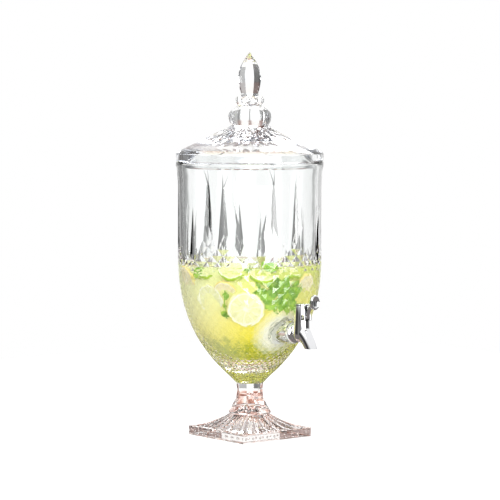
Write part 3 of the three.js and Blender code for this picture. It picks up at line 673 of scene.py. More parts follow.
def makeLid(s):
    edgeTop = s.seat + s.edgeHeight
    edge = s.edgeRound
    perRay = s.columns // s.rays

    def coneAt(reach):
        return edgeTop + (s.radius - reach) * s.slope + edge / 2

    knobFoot = coneAt(s.finialBase)
    beadFoot = knobFoot + s.knobHeight
    budFoot = beadFoot + s.beadRing
    rows = []  # each row turns a column and its angle into an angle, a reach and a height

    def level(reach, height):
        rows.append(lambda column, angle: (angle, reach, height))

    def ray(along, widthShare, depthShare):
        reach = s.rayEnd + (s.rayStart - s.rayEnd) * along

        def row(column, angle):
            side = (column % perRay) - perRay / 2
            cut = s.rayDepth * depthShare if side == 0 else 0
            if abs(side) == 1:
                angle += (widthShare * 2 - 1) * side * tau / s.columns
            return angle, reach, coneAt(reach) - cut
        rows.append(row)

    def lobe(rise, share):
        def row(column, angle):
            crease = s.knobCrease * share * (1 - abs(math.cos(s.lobes * angle / 2)) ** s.lobePower)
            return angle, s.knobRadius * share - crease, knobFoot + s.knobHeight * rise
        rows.append(row)

    def facet(rise, share):
        def row(column, angle):
            sector = tau / s.facets
            within = (angle - sector / 2) % sector - sector / 2
            reach = s.budRadius * share * math.cos(sector / 2) / math.cos(within)
            return angle, reach, budFoot + s.budHeight * rise
        rows.append(row)

    for share in (0, 0.15, 0.5, 1):
        level(s.radius - edge / 2 * (1 - share) ** 2, s.seat + edge / 2 * share)
    for share in (0, 0.3, 0.6, 0.8, 1):
        level(s.radius - edge * (1 - math.cos(share * tau / 5)), edgeTop - edge + edge * 1.15 * share)
    for reach in (s.radius - 3 * edge, (s.radius + s.rayEnd) / 2):
        level(reach, coneAt(reach))
    for step in s.rayShape:
        ray(*step)
    for step in s.knobShape:
        lobe(*step)
    level(s.knobTop, beadFoot)
    level((s.knobTop + s.budNeck) / 2 - 1, beadFoot + s.beadRing / 2)
    level(s.budNeck, budFoot)
    for step in s.budShape:
        facet(*step)
    level(s.tip, budFoot + s.budHeight)

    def place(column, row):
        return polar(*rows[row](column, tau * column / s.columns))

    def isRound(face):
        heights = [vert.co.z for vert in face.verts]
        radii = [vert.co.xy.length for vert in face.verts]
        onRays = s.rayStart - 1 < min(radii) and max(radii) < s.rayEnd + 1 and min(heights) > coneAt(s.rayLow)
        return not (min(heights) >= budFoot - 0.1 or onRays)

    bm = wrappedGrid(s.columns, len(rows) - 1, place)
    closeRing(bm, openRing(bm, budFoot + s.budHeight))
    # the underside: a stepped rim, the lip that drops into the bowl and the hollow of the cone
    lip, inner = s.lipRadius, s.lipRadius - s.lipThickness
    seat, foot = s.seat, s.seat - s.lipDepth
    under = edgeTop + (s.radius - inner) * s.slope - s.thickness
    flat = edgeTop + (s.radius - s.finialBase) * s.slope - s.thickness
    ring = openRing(bm, seat)
    for reach, height in ((lip, seat), (lip - edge / 2, foot + edge), (lip - edge, foot + edge / 4),
                          (lip - 1.6 * edge, foot), (inner + edge / 2, foot), (inner, foot + edge / 2),
                          (inner, under), (s.finialBase, flat), (s.finialBase / 2, flat + 0.4)):
        ring = carryRing(bm, ring, reach, height)
    closeRing(bm, ring)
    faceNormals(bm)
    smoothWhere(bm, isRound)
    beads = bmesh.new()
    for number in range(s.beads):
        angle = (number + 0.5) * tau / s.beads
        spot = Matrix.Translation(polar(angle, s.beadCircle, beadFoot + s.beadRing / 2))
        bmesh.ops.create_uvsphere(beads, u_segments=24, v_segments=16, radius=s.beadRadius, matrix=spot)
    whole = rotated(joined(bm, smoothWhere(beads, always)), math.radians(s.turn), "Z")
    finishPiece(whole, "glassLid", shadedLidGlass, "lid", ("lid",), sharpAngle=24)


makeLid(lidSizes)
print("lid ready")


# Foot: square plate, skirt with flutes that run from the octagon out to the square, collar and stem

footSizes = Sizes(
    side=100.0, plate=10.7, edge=0.9, margin=3.0, groove=0.35, grooveHeight=2.2,
    power=1.65, flutes=6, fluteDepth=1.7, fluteStart=0.35, petal=0.16, perFlute=8,
    collar=27.7, collarRadius=24.7, collarLip=1.8,
    stemFoot=43.8, stemRadius=15.7, stemWaist=14.9, top=61.7, facets=8,
    dots=9, dotRadius=1.7, dotDepth=0.9, dotHeight=5.9, dotMargin=5,
    skirtShares=[1, 0.985, 0.965, 0.94, 0.91, 0.88, 0.84, 0.78, 0.7, 0.6, 0.5, 0.4, 0.3, 0.2, 0.1, 0.04, 0],
)


def polygonPoint(sides, radius, share):
    # a point this share of the way round a polygon whose first corner is at 45 degrees
    place = share * sides
    side = math.floor(place)
    corners = [polar(tau / 8 + tau * corner / sides, radius) for corner in (side, side + 1)]
    return corners[0].lerp(corners[1], place - side)


def makeFoot(s):
    columns = 4 * s.flutes * s.perFlute
    skirtRadius, skirtTop = s.collarRadius - s.collarLip, s.collar - s.collarLip
    edge, groove, half = s.edge, s.groove, math.sqrt(0.5)
    middle = (s.stemFoot + s.top) / 2
    # each row: side of the square, radius of the octagon, share of the square, height, fluted or not
    rows = []
    for inset, height in ((edge, 0), (edge * 0.3, edge * 0.3), (0, edge), (0, s.grooveHeight - groove),
                          (groove, s.grooveHeight), (0, s.grooveHeight + groove),
                          (0, s.plate - edge), (edge * 0.3, s.plate - edge * 0.3), (edge, s.plate)):
        rows.append((s.side - 2 * inset, 0, 1, height, 0))
    for share in s.skirtShares:
        height = s.plate + (skirtTop - s.plate) * (1 - share) ** s.power
        rows.append((s.side - 2 * s.margin, skirtRadius, share, height, 1))
    for radius, height in ((skirtRadius + 0.55 * s.collarLip, s.collar - 0.75 * s.collarLip),
                           (s.collarRadius - 0.3, s.collar - 0.4), (s.collarRadius, s.collar),
                           (s.collarRadius - 0.35, s.collar + 0.45), (s.stemRadius + 0.7, s.stemFoot - 1.2),
                           (s.stemRadius, s.stemFoot), (s.stemWaist, middle - 2), (s.stemWaist, middle + 2),
                           (s.stemRadius, s.top)):
        rows.append((0, radius, 0, height, 0))

    def place(column, row):
        wide, radius, share, height, fluted = rows[row]
        outer = polygonPoint(4, wide * half, column / columns)
        inner = polygonPoint(s.facets, radius, column / columns)
        point = inner.lerp(outer, share) if radius else outer
        if fluted:
            across = 2 * ((column % s.perFlute) / s.perFlute) - 1
            end = max(0, 1 - (1 - share) / s.petal)
            top = max(0, 1 - share / s.petal)
            hollow = max(0, 1 - across ** 2 - end ** 2 - top ** 2)
            height -= s.fluteDepth * math.sqrt(hollow) * min(1, s.fluteStart + share)
        return Vector((point.x, point.y, height))

    def isSkirt(face):
        return max(vert.co.z for vert in face.verts) < skirtTop + 0.1

    bm = wrappedGrid(columns, len(rows) - 1, place)
    for height in (0, s.top):
        closeRing(bm, openRing(bm, height))
    faceNormals(bm)
    smoothWhere(bm, isSkirt)
    dots = bmesh.new()
    reach = s.side / 2 + s.dotRadius - s.dotDepth
    for wall in range(4):
        for number in range(s.dots):
            along = ((number + 0.5) / s.dots - 0.5) * (s.side - s.dotMargin)
            spot = Matrix.Rotation(wall * tau / 4, 4, "Z") @ Matrix.Translation((reach, along, s.dotHeight))
            bmesh.ops.create_icosphere(dots, subdivisions=2, radius=s.dotRadius, matrix=spot)
    whole = cutBy(bm, smoothWhere(dots, always))
    finishPiece(whole, "glassFoot", glass, stands=("pedestal",), sharpAngle=22)


makeFoot(footSizes)
print("foot ready")


# Lemonade: the clear liquid against the wall, and the cloudy drink with its pulp just inside it

drinkSizes = Sizes(
    top=199.0, overlap=0.4, meniscus=1.6, cloudGap=5.0, cloudDrop=5.0, nook=1.0, nookDepth=2.5,
    drift=30.0, toneFoot=95.0, toneTop=215.0, paleLeft=-70.0, paleShare=0.75, milkyReach=19.0, milkyEnd=34.0,
    profileShares=[0, 0.004, 0.015, 0.035, 0.07, 0.12, 0.18, 0.26, 0.35, 0.46, 0.58, 0.7, 0.84, 0.95, 1],
)


def liquidProfile(s, bowl, inset, top):
    foot = bowl.floor + inset
    heights = [foot + (top - foot) * share for share in s.profileShares]
    return [(max(0, innerRadius(bowl, height) - inset), height) for height in heights]


def lemonadeLook(s, bowl):
    look = Look("lemonade")
    rise = look.span(look.parts(look.where)["Z"], 0, 1, bowl.floor * mm, s.top * mm)
    tones = [(0.0, (0.975, 0.98, 0.87)), (0.5, (0.99, 0.99, 0.94)), (1.0, (0.99, 0.99, 0.95))]
    look.set(IOR=1.33, Transmission_Weight=1.0, Base_Color=look.ramp(rise, tones))
    look.gloss(look.noise(60, 3), 0.0, 0.06)
    look.bump(look.noise(120, 2), 0.1, 0.0004)
    letShadowsPass(look, (0.97, 0.96, 0.85), 9, caughtTone)
    return look.material


def cloudLook(s, bowl):
    # pale at the top, strong yellow in the middle, olive where the lime bits settle
    look = Look("cloudyLemonade")
    drift = look.sums("MULTIPLY_ADD", look.noise(80, 5, 0.6), s.drift * mm, look.parts(look.where)["Z"])
    rise = look.span(drift, 0, 1, s.toneFoot * mm, s.toneTop * mm)
    colour = look.ramp(rise, [(0.0, (1, 0.99, 0.88)), (0.09, (1, 0.97, 0.72)), (0.14, (0.85, 0.80, 0.1)),
                              (0.29, (0.97, 0.85, 0.05)), (0.45, (0.99, 0.88, 0.11)),
                              (0.62, (1, 0.94, 0.28)), (0.8, (0.88, 0.9, 0.30)), (1.0, (0.66, 0.74, 0.18))])
    bits = look.ramp(look.noise(170, 5, 0.7), [(0.38, (0.26, 0.36, 0.01)), (0.5, (0.5, 0.54, 0.01)),
                                               (0.6, (0.85, 0.78, 0.04))])
    settled = look.ramp(rise, [(0.1, 0), (0.15, 1), (0.26, 0.9), (0.36, 0)])
    pulp = look.ramp(look.noise(420, 4, 0.65), [(0.35, (0.86, 0.86, 0.80)), (0.62, 1)])
    colour = look.mixed(1.0, look.mixed(settled, colour, bits), pulp, "MULTIPLY")
    # painted light: the drink turns paler towards the camera's left, the side the key lamp lights
    left = look.span(look.measure("DOT_PRODUCT", look.where, rightWay), s.paleShare, 0, s.paleLeft * mm, 0.0)
    colour = look.mixed(left, colour, (0.98, 0.97, 0.72))
    nut = (0, -bowl.seatReach * mm, bowl.tapHeight * mm)
    apart = look.measure("DISTANCE", look.where, nut)
    milky = look.span(apart, 1, 0, s.milkyReach * mm, s.milkyEnd * mm)
    look.set(IOR=1.33, Transmission_Weight=0.2, Specular_IOR_Level=0.1,
             Base_Color=look.mixed(milky, colour, (1, 0.99, 0.93)))
    look.gloss(look.noise(300, 4), 0.4, 0.7)
    look.bump(look.noise(260, 4), 0.3, 0.001)
    return look.material


def makeDrink(s, bowl):
    top, overlap, meniscus = s.top, s.overlap, s.meniscus

    def seatBar(margin, inset):
        # the bar that the tap's seat takes out of the drink
        radius, reach = bowl.seatRadius + margin, bowl.bossReach + bowl.cutOver
        return levelRound(radius, radius, bowl.seatReach + inset, reach, bowl.tapHeight)

    outline = [(radius + overlap, height) for radius, height in liquidProfile(s, bowl, 0, top)]
    outline[0] = (0, bowl.floor - overlap)
    wall = outline[-1][0]
    outline += [(wall, top + meniscus), (wall - overlap - 0.2, top + meniscus * 0.9),
                (wall - overlap - 0.9, top + meniscus * 0.35), (wall - 3, top + 0.05),
                (wall - 6, top), (wall / 2, top), (0, top)]
    finishPiece(cutBy(turned(outline), seatBar(-overlap, overlap)), "lemonade", lemonadeLook(s, bowl))
    top -= s.cloudDrop
    outline = liquidProfile(s, bowl, s.cloudGap, top)
    outline += [(outline[-1][0] - 2, top + 1.2), (outline[-1][0] / 2, top + 1.6), (0, top + 1.6)]
    finishPiece(cutBy(turned(outline), seatBar(s.nook, -s.nookDepth)), "lemonPulpCloud", cloudLook(s, bowl))


makeDrink(drinkSizes, bowlSizes)
print("drink ready")


# Fruit and mint, each pressed against the inside of the bowl where the photograph shows it

def wallSpot(bowl, right, height, gap):
    # the turned place just inside the wall, this far right of the axis as the camera sees it
    radius = innerRadius(bowl, height)
    slope = (innerRadius(bowl, height + 1) - innerRadius(bowl, height - 1)) / 2
    across = max(-1, min(1, right / radius))
    outward = rightWay * across + nearWay * math.sqrt(1 - across * across)
    face = (outward - Vector((0, 0, slope))).normalized()
    side = Vector((0, 0, 1)).cross(face).normalized()
    spot = Matrix((side, face.cross(side), face)).transposed().to_4x4()
    spot.translation = outward * radius + Vector((0, 0, height)) - face * gap
    return spot


def pressOn(bm, verts, spot, tilt, turn):
    # a flat shape goes, tilted and turned, to its place at the wall
    spin = Matrix.Rotation(math.radians(tilt), 4, "X") @ Matrix.Rotation(math.radians(turn), 4, "Z")
    bmesh.ops.transform(bm, matrix=spot @ spin, verts=verts)


slices = {
    # right, height, radius, turn in the wall's plane, tilt, depth from the wall, kind of fruit
    "lemonSlice1": (-4.5, 152.0, 20.5, 10, 0, 0.8, "lemon"),
    "lemonSlice2": (-46, 162.0, 17.5, 40, 4, 3.6, "lemon"),
    "limeSlice1": (-52, 192.0, 11.0, 0, -60, 7.5, "lime"),
    "lemonSlice3": (-71, 184.0, 15.0, 25, 20, 2.0, "orange"),
    "limeSlice2": (-22, 195.0, 15.0, 70, -55, 8.5, "lime"),
    "limeSlice3": (16, 190.0, 15.0, 15, -68, 6.0, "lime"),
    "limeSlice4": (52, 193.0, 12.0, 0, -60, 9.0, "lime"),
    "lemonSlice4": (64, 176.0, 14.0, 55, 15, 3.0, "orange"),
    "lemonSlice5": (-29, 174.0, 12.0, 55, 35, 4.0, "orange"),
}
sliceShape = Sizes(thickness=3.6, round=0.8, segments=10, waviness=0.35, lobing=0.012, cells=26)
sliceColours = {
    # rind, pith, flesh, deep flesh
    "lemon": ((0.88, 0.87, 0.42), (0.95, 0.94, 0.82), (0.90, 0.89, 0.62), (0.80, 0.80, 0.42)),
    "lime": ((0.42, 0.60, 0.06), (0.93, 0.95, 0.74), (0.88, 0.91, 0.52), (0.80, 0.86, 0.36)),
    "orange": ((0.97, 0.80, 0.30), (0.98, 0.94, 0.80), (0.97, 0.88, 0.62), (0.95, 0.84, 0.52)),
}


def sliceLook(name, colours):
    rind, pith, flesh, deep = colours
    look = Look(name)
    centred = look.made("Mapping", [look.add("UVMap", uv_map="cut").outputs["UV"], (-0.5, -0.5, 0)])
    parts = look.parts(centred)
    reach = look.sums("MULTIPLY", look.measure("LENGTH", centred), 2)
    wave = look.sums("MULTIPLY", look.sums("ARCTAN2", parts["Y"], parts["X"]), sliceShape.segments / 2)
    wall = look.sums("MULTIPLY", look.sums("ABSOLUTE", look.sums("SINE", wave)), reach)
    juice = look.fill(look.add("TexVoronoi"), Scale=sliceShape.cells, Vector=centred)["Distance"]
    cells = look.ramp(juice, [(0.1, flesh), (0.7, deep)])
    colour = look.mixed(look.span(wall, 0, 1, 0.05, 0.13), pith, cells)
    colour = look.mixed(look.span(reach, 0, 1, 0.82, 0.86), colour, pith)
    colour = look.mixed(look.span(reach, 0, 1, 0.93, 0.955), colour, rind)
    look.set(Transmission_Weight=0.12, IOR=1.36, Specular_IOR_Level=0.15, Base_Color=colour)
    look.gloss(look.noise(250, 3), 0.2, 0.4)
    look.bump(juice, 0.4, 0.0006)
    return look.material


def flatUv(bm, size):
    # UV from the flat shape's own x and y, before it is bent and placed
    layer = bm.loops.layers.uv.new("cut")
    for face in bm.faces:
        for loop in face.loops:
            loop[layer].uv = (loop.vert.co.x / size + 0.5, loop.vert.co.y / size + 0.5)


def makeSlice(name, item, shape, bowl, looks, seed):
    right, height, radius, turn, tilt, deep, kind = item
    thick, edge = shape.thickness / 2, shape.round
    shares = (0, 0.3, 0.6, 0.85)
    profile = [(radius * share, -thick) for share in shares] + roundedRim(radius, -thick, thick, edge)
    profile += [(radius * share, thick) for share in reversed(shares)]
    bm = turned(profile, 60)
    flatUv(bm, 2 * radius)
    rng = random.Random(seed)
    phase, swing = rng.random() * tau, shape.waviness
    for vert in bm.verts:
        angle = math.atan2(vert.co.y, vert.co.x)
        share = vert.co.xy.length / radius
        vert.co.z += swing * share * share * math.sin(2 * angle + phase) * 2
        vert.co.xy *= 1 + shape.lobing * share * math.sin(shape.segments * angle)
    depth = deep + thick + radius * radius / (2 * innerRadius(bowl, height))
    pressOn(bm, bm.verts, wallSpot(bowl, right, height, depth), tilt, turn)
    finishPiece(bm, name, looks[kind])


sliceLooks = {kind: sliceLook(kind + "Slice", colours) for kind, colours in sliceColours.items()}
for number, (name, item) in enumerate(slices.items()):
    makeSlice(name, item, sliceShape, bowlSizes, sliceLooks, 40 + number)


leafShape = Sizes(rows=20, columns=10, teeth=9, veins=9, toothDepth=0.06, fold=0.22, thickness=0.5,
                  bend=0.15, crumple=0.12, lift=0.16)
# right, height, turn in the wall's plane, length, width, tilt, depth from the wall
mint = {
    "mintBunch": [
        (32, 168, 20, 36, 24, 6, 1.5), (20, 172, 110, 28, 20, -8, 2.5), (44, 162, -60, 28, 20, 5, 2.0),
        (38, 177, 60, 26, 18, 8, 1.2), (24, 160, -150, 26, 18, -5, 2.2), (50, 170, 10, 24, 16, 9, 1.6),
        (13, 168, 175, 24, 16, 4, 2.6), (34, 156, -100, 22, 15, 3, 1.8), (53, 177, 35, 20, 14, 3, 1.4),
        (29, 181, 150, 24, 16, -4, 1.9), (9, 162, 200, 20, 14, 4, 2.8), (16, 178, 140, 20, 14, 4, 2.9),
        (46, 154, -80, 22, 16, 3, 1.7), (40, 168, 170, 24, 17, 5, 2.8),
    ],
    "mintSprig": [
        (-27, 168, 95, 10, 6, 10, 1.5), (-28, 146, -80, 9, 5, 10, 1.5), (-25, 145, -30, 8, 5, -10, 1.5),
        (-30, 148, -140, 8, 5, 8, 1.5), (-28, 157, 90, 16, 2.2, 8, 1.3),
    ],
    "mintFloating": [
        (25, 199, 0, 20, 13, -45, 5), (-60, 192, 40, 16, 11, -30, 3), (-30, 195, 170, 14, 9, -60, 8),
        (-6, 196, 30, 16, 10, -65, 10),
    ],
}


def mintLook():
    look = Look("mintLeaf")
    parts = look.parts(look.add("UVMap", uv_map="leaf").outputs["UV"])
    across = look.sums("ABSOLUTE", look.sums("SUBTRACT", parts["Y"], 0.5))
    rib = look.span(across, 0, 1, 0.008, 0.03)
    slant = look.sums("MULTIPLY", look.sums("SUBTRACT", parts["X"], across), leafShape.veins * math.pi)
    vein = look.span(look.sums("ABSOLUTE", look.sums("SINE", slant)), 0, 1, 0.08, 0.4)
    level = look.sums("MULTIPLY", rib, vein)
    blade = look.ramp(look.noise(150, 3), [(0.36, (0.08, 0.26, 0.008)), (0.5, (0.2, 0.44, 0.02)),
                                           (0.64, (0.42, 0.63, 0.07))])
    look.set(Specular_IOR_Level=0.15, Base_Color=look.mixed(level, (0.50, 0.68, 0.18), blade))
    look.gloss(look.noise(200, 3), 0.35, 0.55)
    look.bump(level, 0.5, 0.0006)
    return look.material


def leaf(bm, shape, item, bowl, rng):
    right, height, turn, length, width, tilt, deep = item
    made = bmesh.ops.create_grid(bm, x_segments=shape.rows, y_segments=shape.columns, size=1)["verts"]
    layer = bm.loops.layers.uv.verify()
    for face in {face for vert in made for face in vert.link_faces}:
        face.smooth = True
        for loop in face.loops:
            loop[layer].uv = ((loop.vert.co.x + 1) / 2, (loop.vert.co.y + 1) / 2)
    bend = rng.uniform(-shape.bend, shape.bend)
    for vert in made:
        along, across = (vert.co.x + 1) / 2, vert.co.y
        teeth = 1 + shape.toothDepth * abs(across) ** 4 * math.sin(along * shape.teeth * tau)
        belly = math.sin(math.pi * min(1, along * 0.97 + 0.03)) ** 0.75
        half = width / 2 * belly * (1.15 - 0.3 * along) * teeth
        rise = shape.fold * abs(across) * half + bend * length * (along - 0.5) ** 2
        rise += rng.uniform(-shape.crumple, shape.crumple)
        vert.co = Vector(((along - 0.5) * length, across * half, rise))
    depth = deep + shape.thickness + shape.lift * width
    pressOn(bm, made, wallSpot(bowl, right, height, depth), tilt, turn)


def makeMint(name, items, shape, bowl, look, seed):
    rng = random.Random(seed)
    bm = bmesh.new()
    bm.loops.layers.uv.new("leaf")
    for item in items:
        leaf(bm, shape, item, bowl, rng)
    bmesh.ops.solidify(bm, geom=bm.faces, thickness=shape.thickness)
    weld(bm, 0.01)
    faceNormals(bm)
    finishPiece(bm, name, look, sharpAngle=60)


mintLeaf = mintLook()
for number, (name, items) in enumerate(mint.items()):
    makeMint(name, items, leafShape, bowlSizes, mintLeaf, 7 + number)
print("fruit and mint ready")


# Tap: chrome casting with threaded shank, lever, cap, pin, washers, nut and spring

capLow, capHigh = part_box("bonnet_cap")
tapSizes = Sizes(
    reach=-(capLow[1] + capHigh[1]) / 2 / mm, height=bowlSizes.tapHeight,
    barrelFoot=9.95, barrelTop=8.65, top=31.8, edge=0.45, bore=6.8,
    chamber=6.0, chamberTop=7.5, seat=-1.5, neck=8.4,
    flange=11.25, flangeThickness=2.5, flangeFace=11.4, flangeRound=0.55,
    shank=6.0, shankEnd=53.2, threadPitch=1.8, threadDepth=0.5, threadRows=6, inlet=3.5, inletRise=2.2,
    spoutRoot=9.2, spoutMouth=6.8, spoutWall=2.0, throat=3.4, throatRise=4.0, throatDrop=1.6,
    mouthReach=16.8, mouthDrop=15.6, bendReach=10.6, bendDrop=3.4, past=3.0,
    slotHalf=2.8, slotFoot=15.0, earThickness=2.6, earReach=10.9, earFoot=15.4, earTop=22.6,
    earRound=0.7, pivotReach=7.9, pivotHeight=19.0, pin=1.1, pinFit=0.3,
    hub=2.7, bladeHalf=2.3, forkHalf=4.2, forkGap=2.0, forkPad=1.3, forkDrop=1.73,
    forkShoulder=4.8, forkEnd=3.4, leverNeck=2.2,
    paddleTall=8.5, paddleWide=6.6, paddleThick=5.4, paddleReach=19.0, paddleHeight=36.6,
    paddleShape=[(0, 0), (0.4, 0.02), (0.68, 0.06), (0.85, 0.15), (0.95, 0.31), (1, 0.52), (0.98, 0.73),
                 (0.92, 0.9), (0.84, 0.99), (0.77, 1), (0.71, 0.96), (0.62, 0.89), (0.48, 0.82),
                 (0.28, 0.775), (0, 0.77)],
    capGap=0.3, capFoot=30.3, capThick=2.1, capRecess=1.0, capCrown=1.1,
    spring=3.4, wire=0.45, springTurns=5, stemCollar=2.5,
    nutFlats=24.0, nutFlange=14.0, nutFlangeThick=2.0, nutThick=8.4, nutFoot=43.0, shankFit=0.35,
    # each washer's radius, its face's place along the shank and its thickness
    outerWasher=(11.25, 11.7, 1.9), innerWasher=(14.0, 40.7, 2.0), washerRound=0.35,
)


def levelTurned(profile, steps=64, closed=False):
    # (radius, place along +Y) points spun about a level axis
    return rotated(turned(profile, steps, closed), -tau / 4, "X")


def disc(radius, low, high):
    return [(0, low), (radius, low), (radius, high), (0, high)]


def roundedBlock(low, high, edge=0):
    bm = bmesh.new()
    bmesh.ops.create_cube(bm, size=1)
    bmesh.ops.scale(bm, vec=[b - a for a, b in zip(low, high)], verts=bm.verts)
    if edge:
        roundEdges(bm, bm.edges, edge)
    return moved(bm, *[(a + b) / 2 for a, b in zip(low, high)])


def sweptBar(corners, thin, thick, steps=20, sides=40):
    # a round bar along a curve in the tap's middle plane, given by four (reach, height) points
    line = interpolate_bezier(*[Vector((0, -reach, height)) for reach, height in corners], steps + 1)
    across = Vector((1, 0, 0))

    def place(column, row):
        ahead = (line[min(row + 1, steps)] - line[max(row - 1, 0)]).normalized()
        angle = tau * column / sides
        radius = thin + (thick - thin) * row / steps
        return line[row] + (across * math.cos(angle) + across.cross(ahead) * math.sin(angle)) * radius

    return tube(sides, steps, place)


def crossBar(discs, halfWidth, sides=28):
    # a bar across X whose side view is the hull of some (reach, height, radius) discs
    bm = bmesh.new()
    for reach, height, radius in discs:
        for side in (-1, 1):
            spot = Matrix.Translation((side * halfWidth, -reach, height)) @ Matrix.Rotation(tau / 4, 4, "Y")
            bmesh.ops.create_circle(bm, cap_ends=False, segments=sides, radius=radius, matrix=spot)
    bmesh.ops.convex_hull(bm, input=bm.verts)
    bmesh.ops.delete(bm, geom=[vert for vert in bm.verts if not vert.link_faces], context="VERTS")
    bmesh.ops.delete(bm, geom=[edge for edge in bm.edges if not edge.link_faces], context="EDGES")
    bmesh.ops.dissolve_limit(bm, angle_limit=0.01, verts=bm.verts, edges=bm.edges)
    return smoothWhere(bm, isFourSided)


def threadedShank(s):
    # ridges wind round the shank from the washer's face to the end
    foot, end = s.flangeFace + 0.6, s.shankEnd
    rows = round((end - foot) / s.threadPitch * s.threadRows)
    columns = 48

    def place(column, row):
        along = foot + (end - foot) * row / rows
        turns = (along - foot) / s.threadPitch - column / columns
        ridge = 2 * abs(turns - math.floor(turns) - 0.5)
        fade = min(1, row / s.threadRows, (rows - row) / s.threadRows)
        radius = s.shank - s.threadDepth * ridge * fade - 0.3 * (1 - min(1, rows - row))
        angle = tau * column / columns
        return Vector((radius * math.cos(angle), along, radius * math.sin(angle)))

    return joined(levelTurned(disc(s.shank, 0, foot + 1.2), columns), tube(columns, rows, place))


def tapPiece(s, bm, name, material, node, body="root", sharpAngle=34):
    # a finished piece, moved from the tap's own axis to its place on the bowl
    return finishPiece(moved(bm, 0, -s.reach, s.height), name, material, body, (node,), sharpAngle)


def makeTapBody(s):
    top, foot, face, rim, curve = s.top, s.barrelFoot, s.flangeFace, s.flange, s.flangeRound
    back = face - s.flangeThickness
    angles = [tau / 4 * step / 10 for step in range(10)]
    ball = [(foot * math.sin(angle), -foot * math.cos(angle)) for angle in angles]
    barrel = turned(ball + [(foot, 0)] + roundedRim(s.barrelTop, 0, top, s.edge)[3:] + [(0, top)], 72)
    flange = levelTurned([(0, back), (rim - 1.6, back), (rim - 1.1, back + 0.15), (rim - curve, back + 0.35),
                          (rim - curve * 0.3, back + 0.35 + curve * 0.35), (rim, back + 0.35 + curve),
                          (rim, face - curve * 0.5), (rim - curve * 0.5, face), (0, face)])
    neck = levelTurned([(0, 0), (s.neck, 0), (s.neck, back - 0.9), (s.neck + 0.3, back - 0.35),
                        (s.neck + 1, back + 0.2), (0, back + 0.2)])
    step = (s.mouthReach - s.bendReach, s.bendDrop - s.mouthDrop)
    ahead = [part / math.hypot(*step) * s.past for part in step]
    bend = (s.bendReach, -s.bendDrop)
    end = (s.mouthReach + ahead[0], -s.mouthDrop + ahead[1])
    past = (end[0] + ahead[0], end[1] + ahead[1])
    spout = sweptBar([(0, s.throatRise), (s.bendReach / 3, 0), bend, end], s.spoutRoot, s.spoutMouth, 28, 56)
    ears = [roundedBlock((low, -s.earReach, s.earFoot), (low + s.earThickness, -s.bore, s.earTop), s.earRound)
            for low in (s.slotHalf, -s.slotHalf - s.earThickness)]
    inlet = levelTurned(disc(s.inlet, -s.chamber / 2, s.shankEnd + 2), 32)
    inlet = moved(rotated(inlet, -math.atan2(s.inletRise, s.shankEnd), "X"), 0, 0, s.inletRise)
    bores = [
        turned(disc(s.bore, s.chamberTop, top + 1), 56),
        turned(disc(s.chamber, s.seat, s.chamberTop + 1), 56),
        sweptBar([(0, s.seat + 1), (0, s.seat - s.throatDrop), bend, past],
                 s.throat, s.spoutMouth - s.spoutWall, 28, 40),
        roundedBlock((-s.slotHalf, -s.earReach - 2, s.slotFoot), (s.slotHalf, -s.bore / 2, top + 2)),
        roundedBlock((-2 * foot, -4 * foot, -4 * foot), (2 * foot, 0, -s.mouthDrop)),
        crossBar([(s.pivotReach, s.pivotHeight, s.pin + s.pinFit / 2)], s.slotHalf + s.earThickness + 2),
        inlet,
    ]
    body = cutBy(joined(barrel, neck, flange, threadedShank(s), spout, *ears), *bores)
    tapPiece(s, body, "chromeTapBody", chrome, "tap_body")


def makeLever(s):
    pivot, high, pad, hub = s.pivotReach, s.pivotHeight, s.forkPad, s.hub
    low = high - s.forkDrop
    paddle = turned([(s.paddleTall * out, s.paddleThick * along) for out, along in s.paddleShape], 72)
    rotated(paddle, tau / 4, "X")
    bmesh.ops.scale(paddle, verts=paddle.verts, vec=(s.paddleWide / s.paddleTall, 1, 1))
    moved(paddle, 0, -s.paddleReach, s.paddleHeight)
    neck = sweptBar([(pivot, high), (pivot + 2 * hub, high + 2 * hub),
                     (pivot + 2 * hub, s.paddleHeight - hub),
                     (s.paddleReach + s.paddleThick / 2, s.paddleHeight)],
                    s.leverNeck, s.leverNeck * 0.95, 20, 28)
    arm = crossBar([(s.forkShoulder - pad, low, pad), (pivot, high - 1, 1.7)], s.bladeHalf)
    fork = crossBar([(0, low, pad), (s.forkShoulder - pad, low, pad)], s.forkHalf)
    slot = roundedBlock((-s.forkGap, -s.forkEnd, 0), (s.forkGap, 2 * s.bore, s.top))
    hole = crossBar([(pivot, high, s.pin + s.pinFit)], s.bladeHalf + 2)
    lever = cutBy(joined(crossBar([(pivot, high, hub)], s.bladeHalf), arm, fork, neck, paddle), slot, hole)
    tapPiece(s, lever, "chromeLever", chrome, "lever", "lever")


def makeCap(s):
    seat, out, crown, foot = s.top + s.capGap, s.barrelTop, s.capCrown, s.capFoot
    top, roof, plug = seat + s.capThick, foot + s.capRecess, s.bore - s.capGap
    socket = s.spring + 2 * s.wire
    profile = [(0, roof), (socket, roof), (socket, foot), (plug, foot), (plug, seat), (out - 0.25, seat),
               (out, seat + 0.2), (out, top - crown)]
    for step in (0.25, 0.5, 0.75, 1):
        angle = tau / 4 * step
        profile.append((out - crown * (1 - math.cos(angle)), top - crown + crown * 0.76 * math.sin(angle)))
    profile += [(out * 0.55, top), (out * 0.25, top + crown / 5), (0, top + crown / 4)]
    tapPiece(s, turned(profile, 72), "chromeBonnetCap", chrome, "bonnet_cap")


def makeWasher(s, name, node, radius, face, thick):
    hole = s.shank + s.shankFit
    profile = [(hole, face)] + roundedRim(radius, face, face + thick, s.washerRound) + [(hole, face + thick)]
    tapPiece(s, levelTurned(profile, 72, closed=True), name, silicone, node, sharpAngle=50)


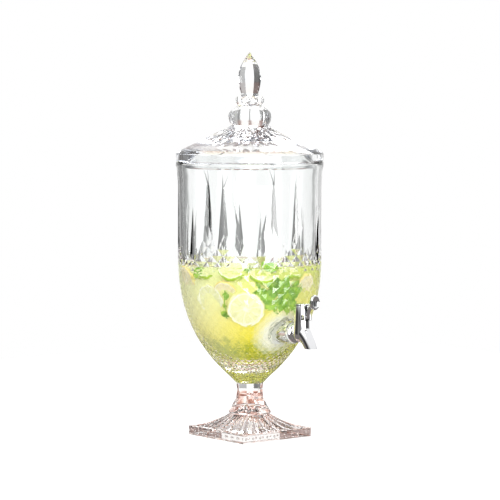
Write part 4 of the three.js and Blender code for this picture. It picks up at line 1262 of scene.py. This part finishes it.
def makeNut(s):
    foot, end, thick = s.nutFoot, s.nutFoot + s.nutThick, s.nutFoot + s.nutFlangeThick
    corner, flats, rim = s.nutFlats / math.sqrt(3), s.nutFlats / 2, s.nutFlange
    hexagon = bmesh.new()
    bmesh.ops.create_cone(hexagon, cap_ends=True, segments=6, radius1=corner, radius2=corner,
                          depth=s.nutThick, matrix=Matrix.Rotation(tau / 12, 4, "Z"))
    moved(rotated(hexagon, tau / 4, "X"), 0, (foot + end) / 2, 0)
    chamfer = levelTurned([(0, foot), (corner + 1, foot), (corner + 1, end - 1.6), (corner, end - 1.6),
                           (flats + 0.2, end - 0.2), (flats - 0.6, end), (0, end)], 72)
    flange = levelTurned([(0, foot), (rim - 0.3, foot), (rim, foot + 0.3), (rim, thick - 0.5),
                          (rim - 0.2, thick - 0.15), (rim - 0.6, thick), (0, thick)], 72)
    hole = levelTurned(disc(s.shank + s.shankFit, foot - 1, end + 1), 48)
    nut = cutBy(joined(combined(hexagon, chamfer, "INTERSECT"), flange), hole)
    tapPiece(s, nut, "whiteShankNut", whitePlastic, "shank_nut", sharpAngle=30)


def makeSpring(s):
    # one wire wound from the stem's collar up to the cap; it shortens as the valve lifts
    foot = s.pivotHeight - s.forkDrop + s.forkPad + s.capGap + s.stemCollar + s.capGap + s.wire
    top = s.capFoot + s.capRecess - s.capGap - s.wire
    perTurn, sides = 28, 12
    steps = s.springTurns * perTurn

    def place(column, row):
        angle = tau * row / perTurn
        around = tau * column / sides
        height = foot + (top - foot) * row / steps + s.wire * math.sin(around)
        return polar(angle, s.spring + s.wire * math.cos(around), height)

    spring = tapPiece(s, tube(sides, steps, place), "steelReturnSpring", steel, "return_spring",
                      sharpAngle=50)
    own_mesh(spring)


makeTapBody(tapSizes)
makeLever(tapSizes)
makeCap(tapSizes)
makeWasher(tapSizes, "siliconeOuterWasher", "outer_washer", *tapSizes.outerWasher)
makeWasher(tapSizes, "siliconeInnerWasher", "inner_washer", *tapSizes.innerWasher)
makeNut(tapSizes)
makeSpring(tapSizes)
print("tap ready")


# The small pieces inside the barrel keep their CAD shape and get their finish here

finishes = {
    "lever_pin": steel, "valve_stem": steel, "seat_plug": silicone, "stem_guide": whitePlastic,
    "stem_seal": darkRubber,
}
for name, look in finishes.items():
    item = bpy.data.objects.get(name)
    if item:
        item.data.materials.clear()
        item.data.materials.append(look)
print("finishes ready")
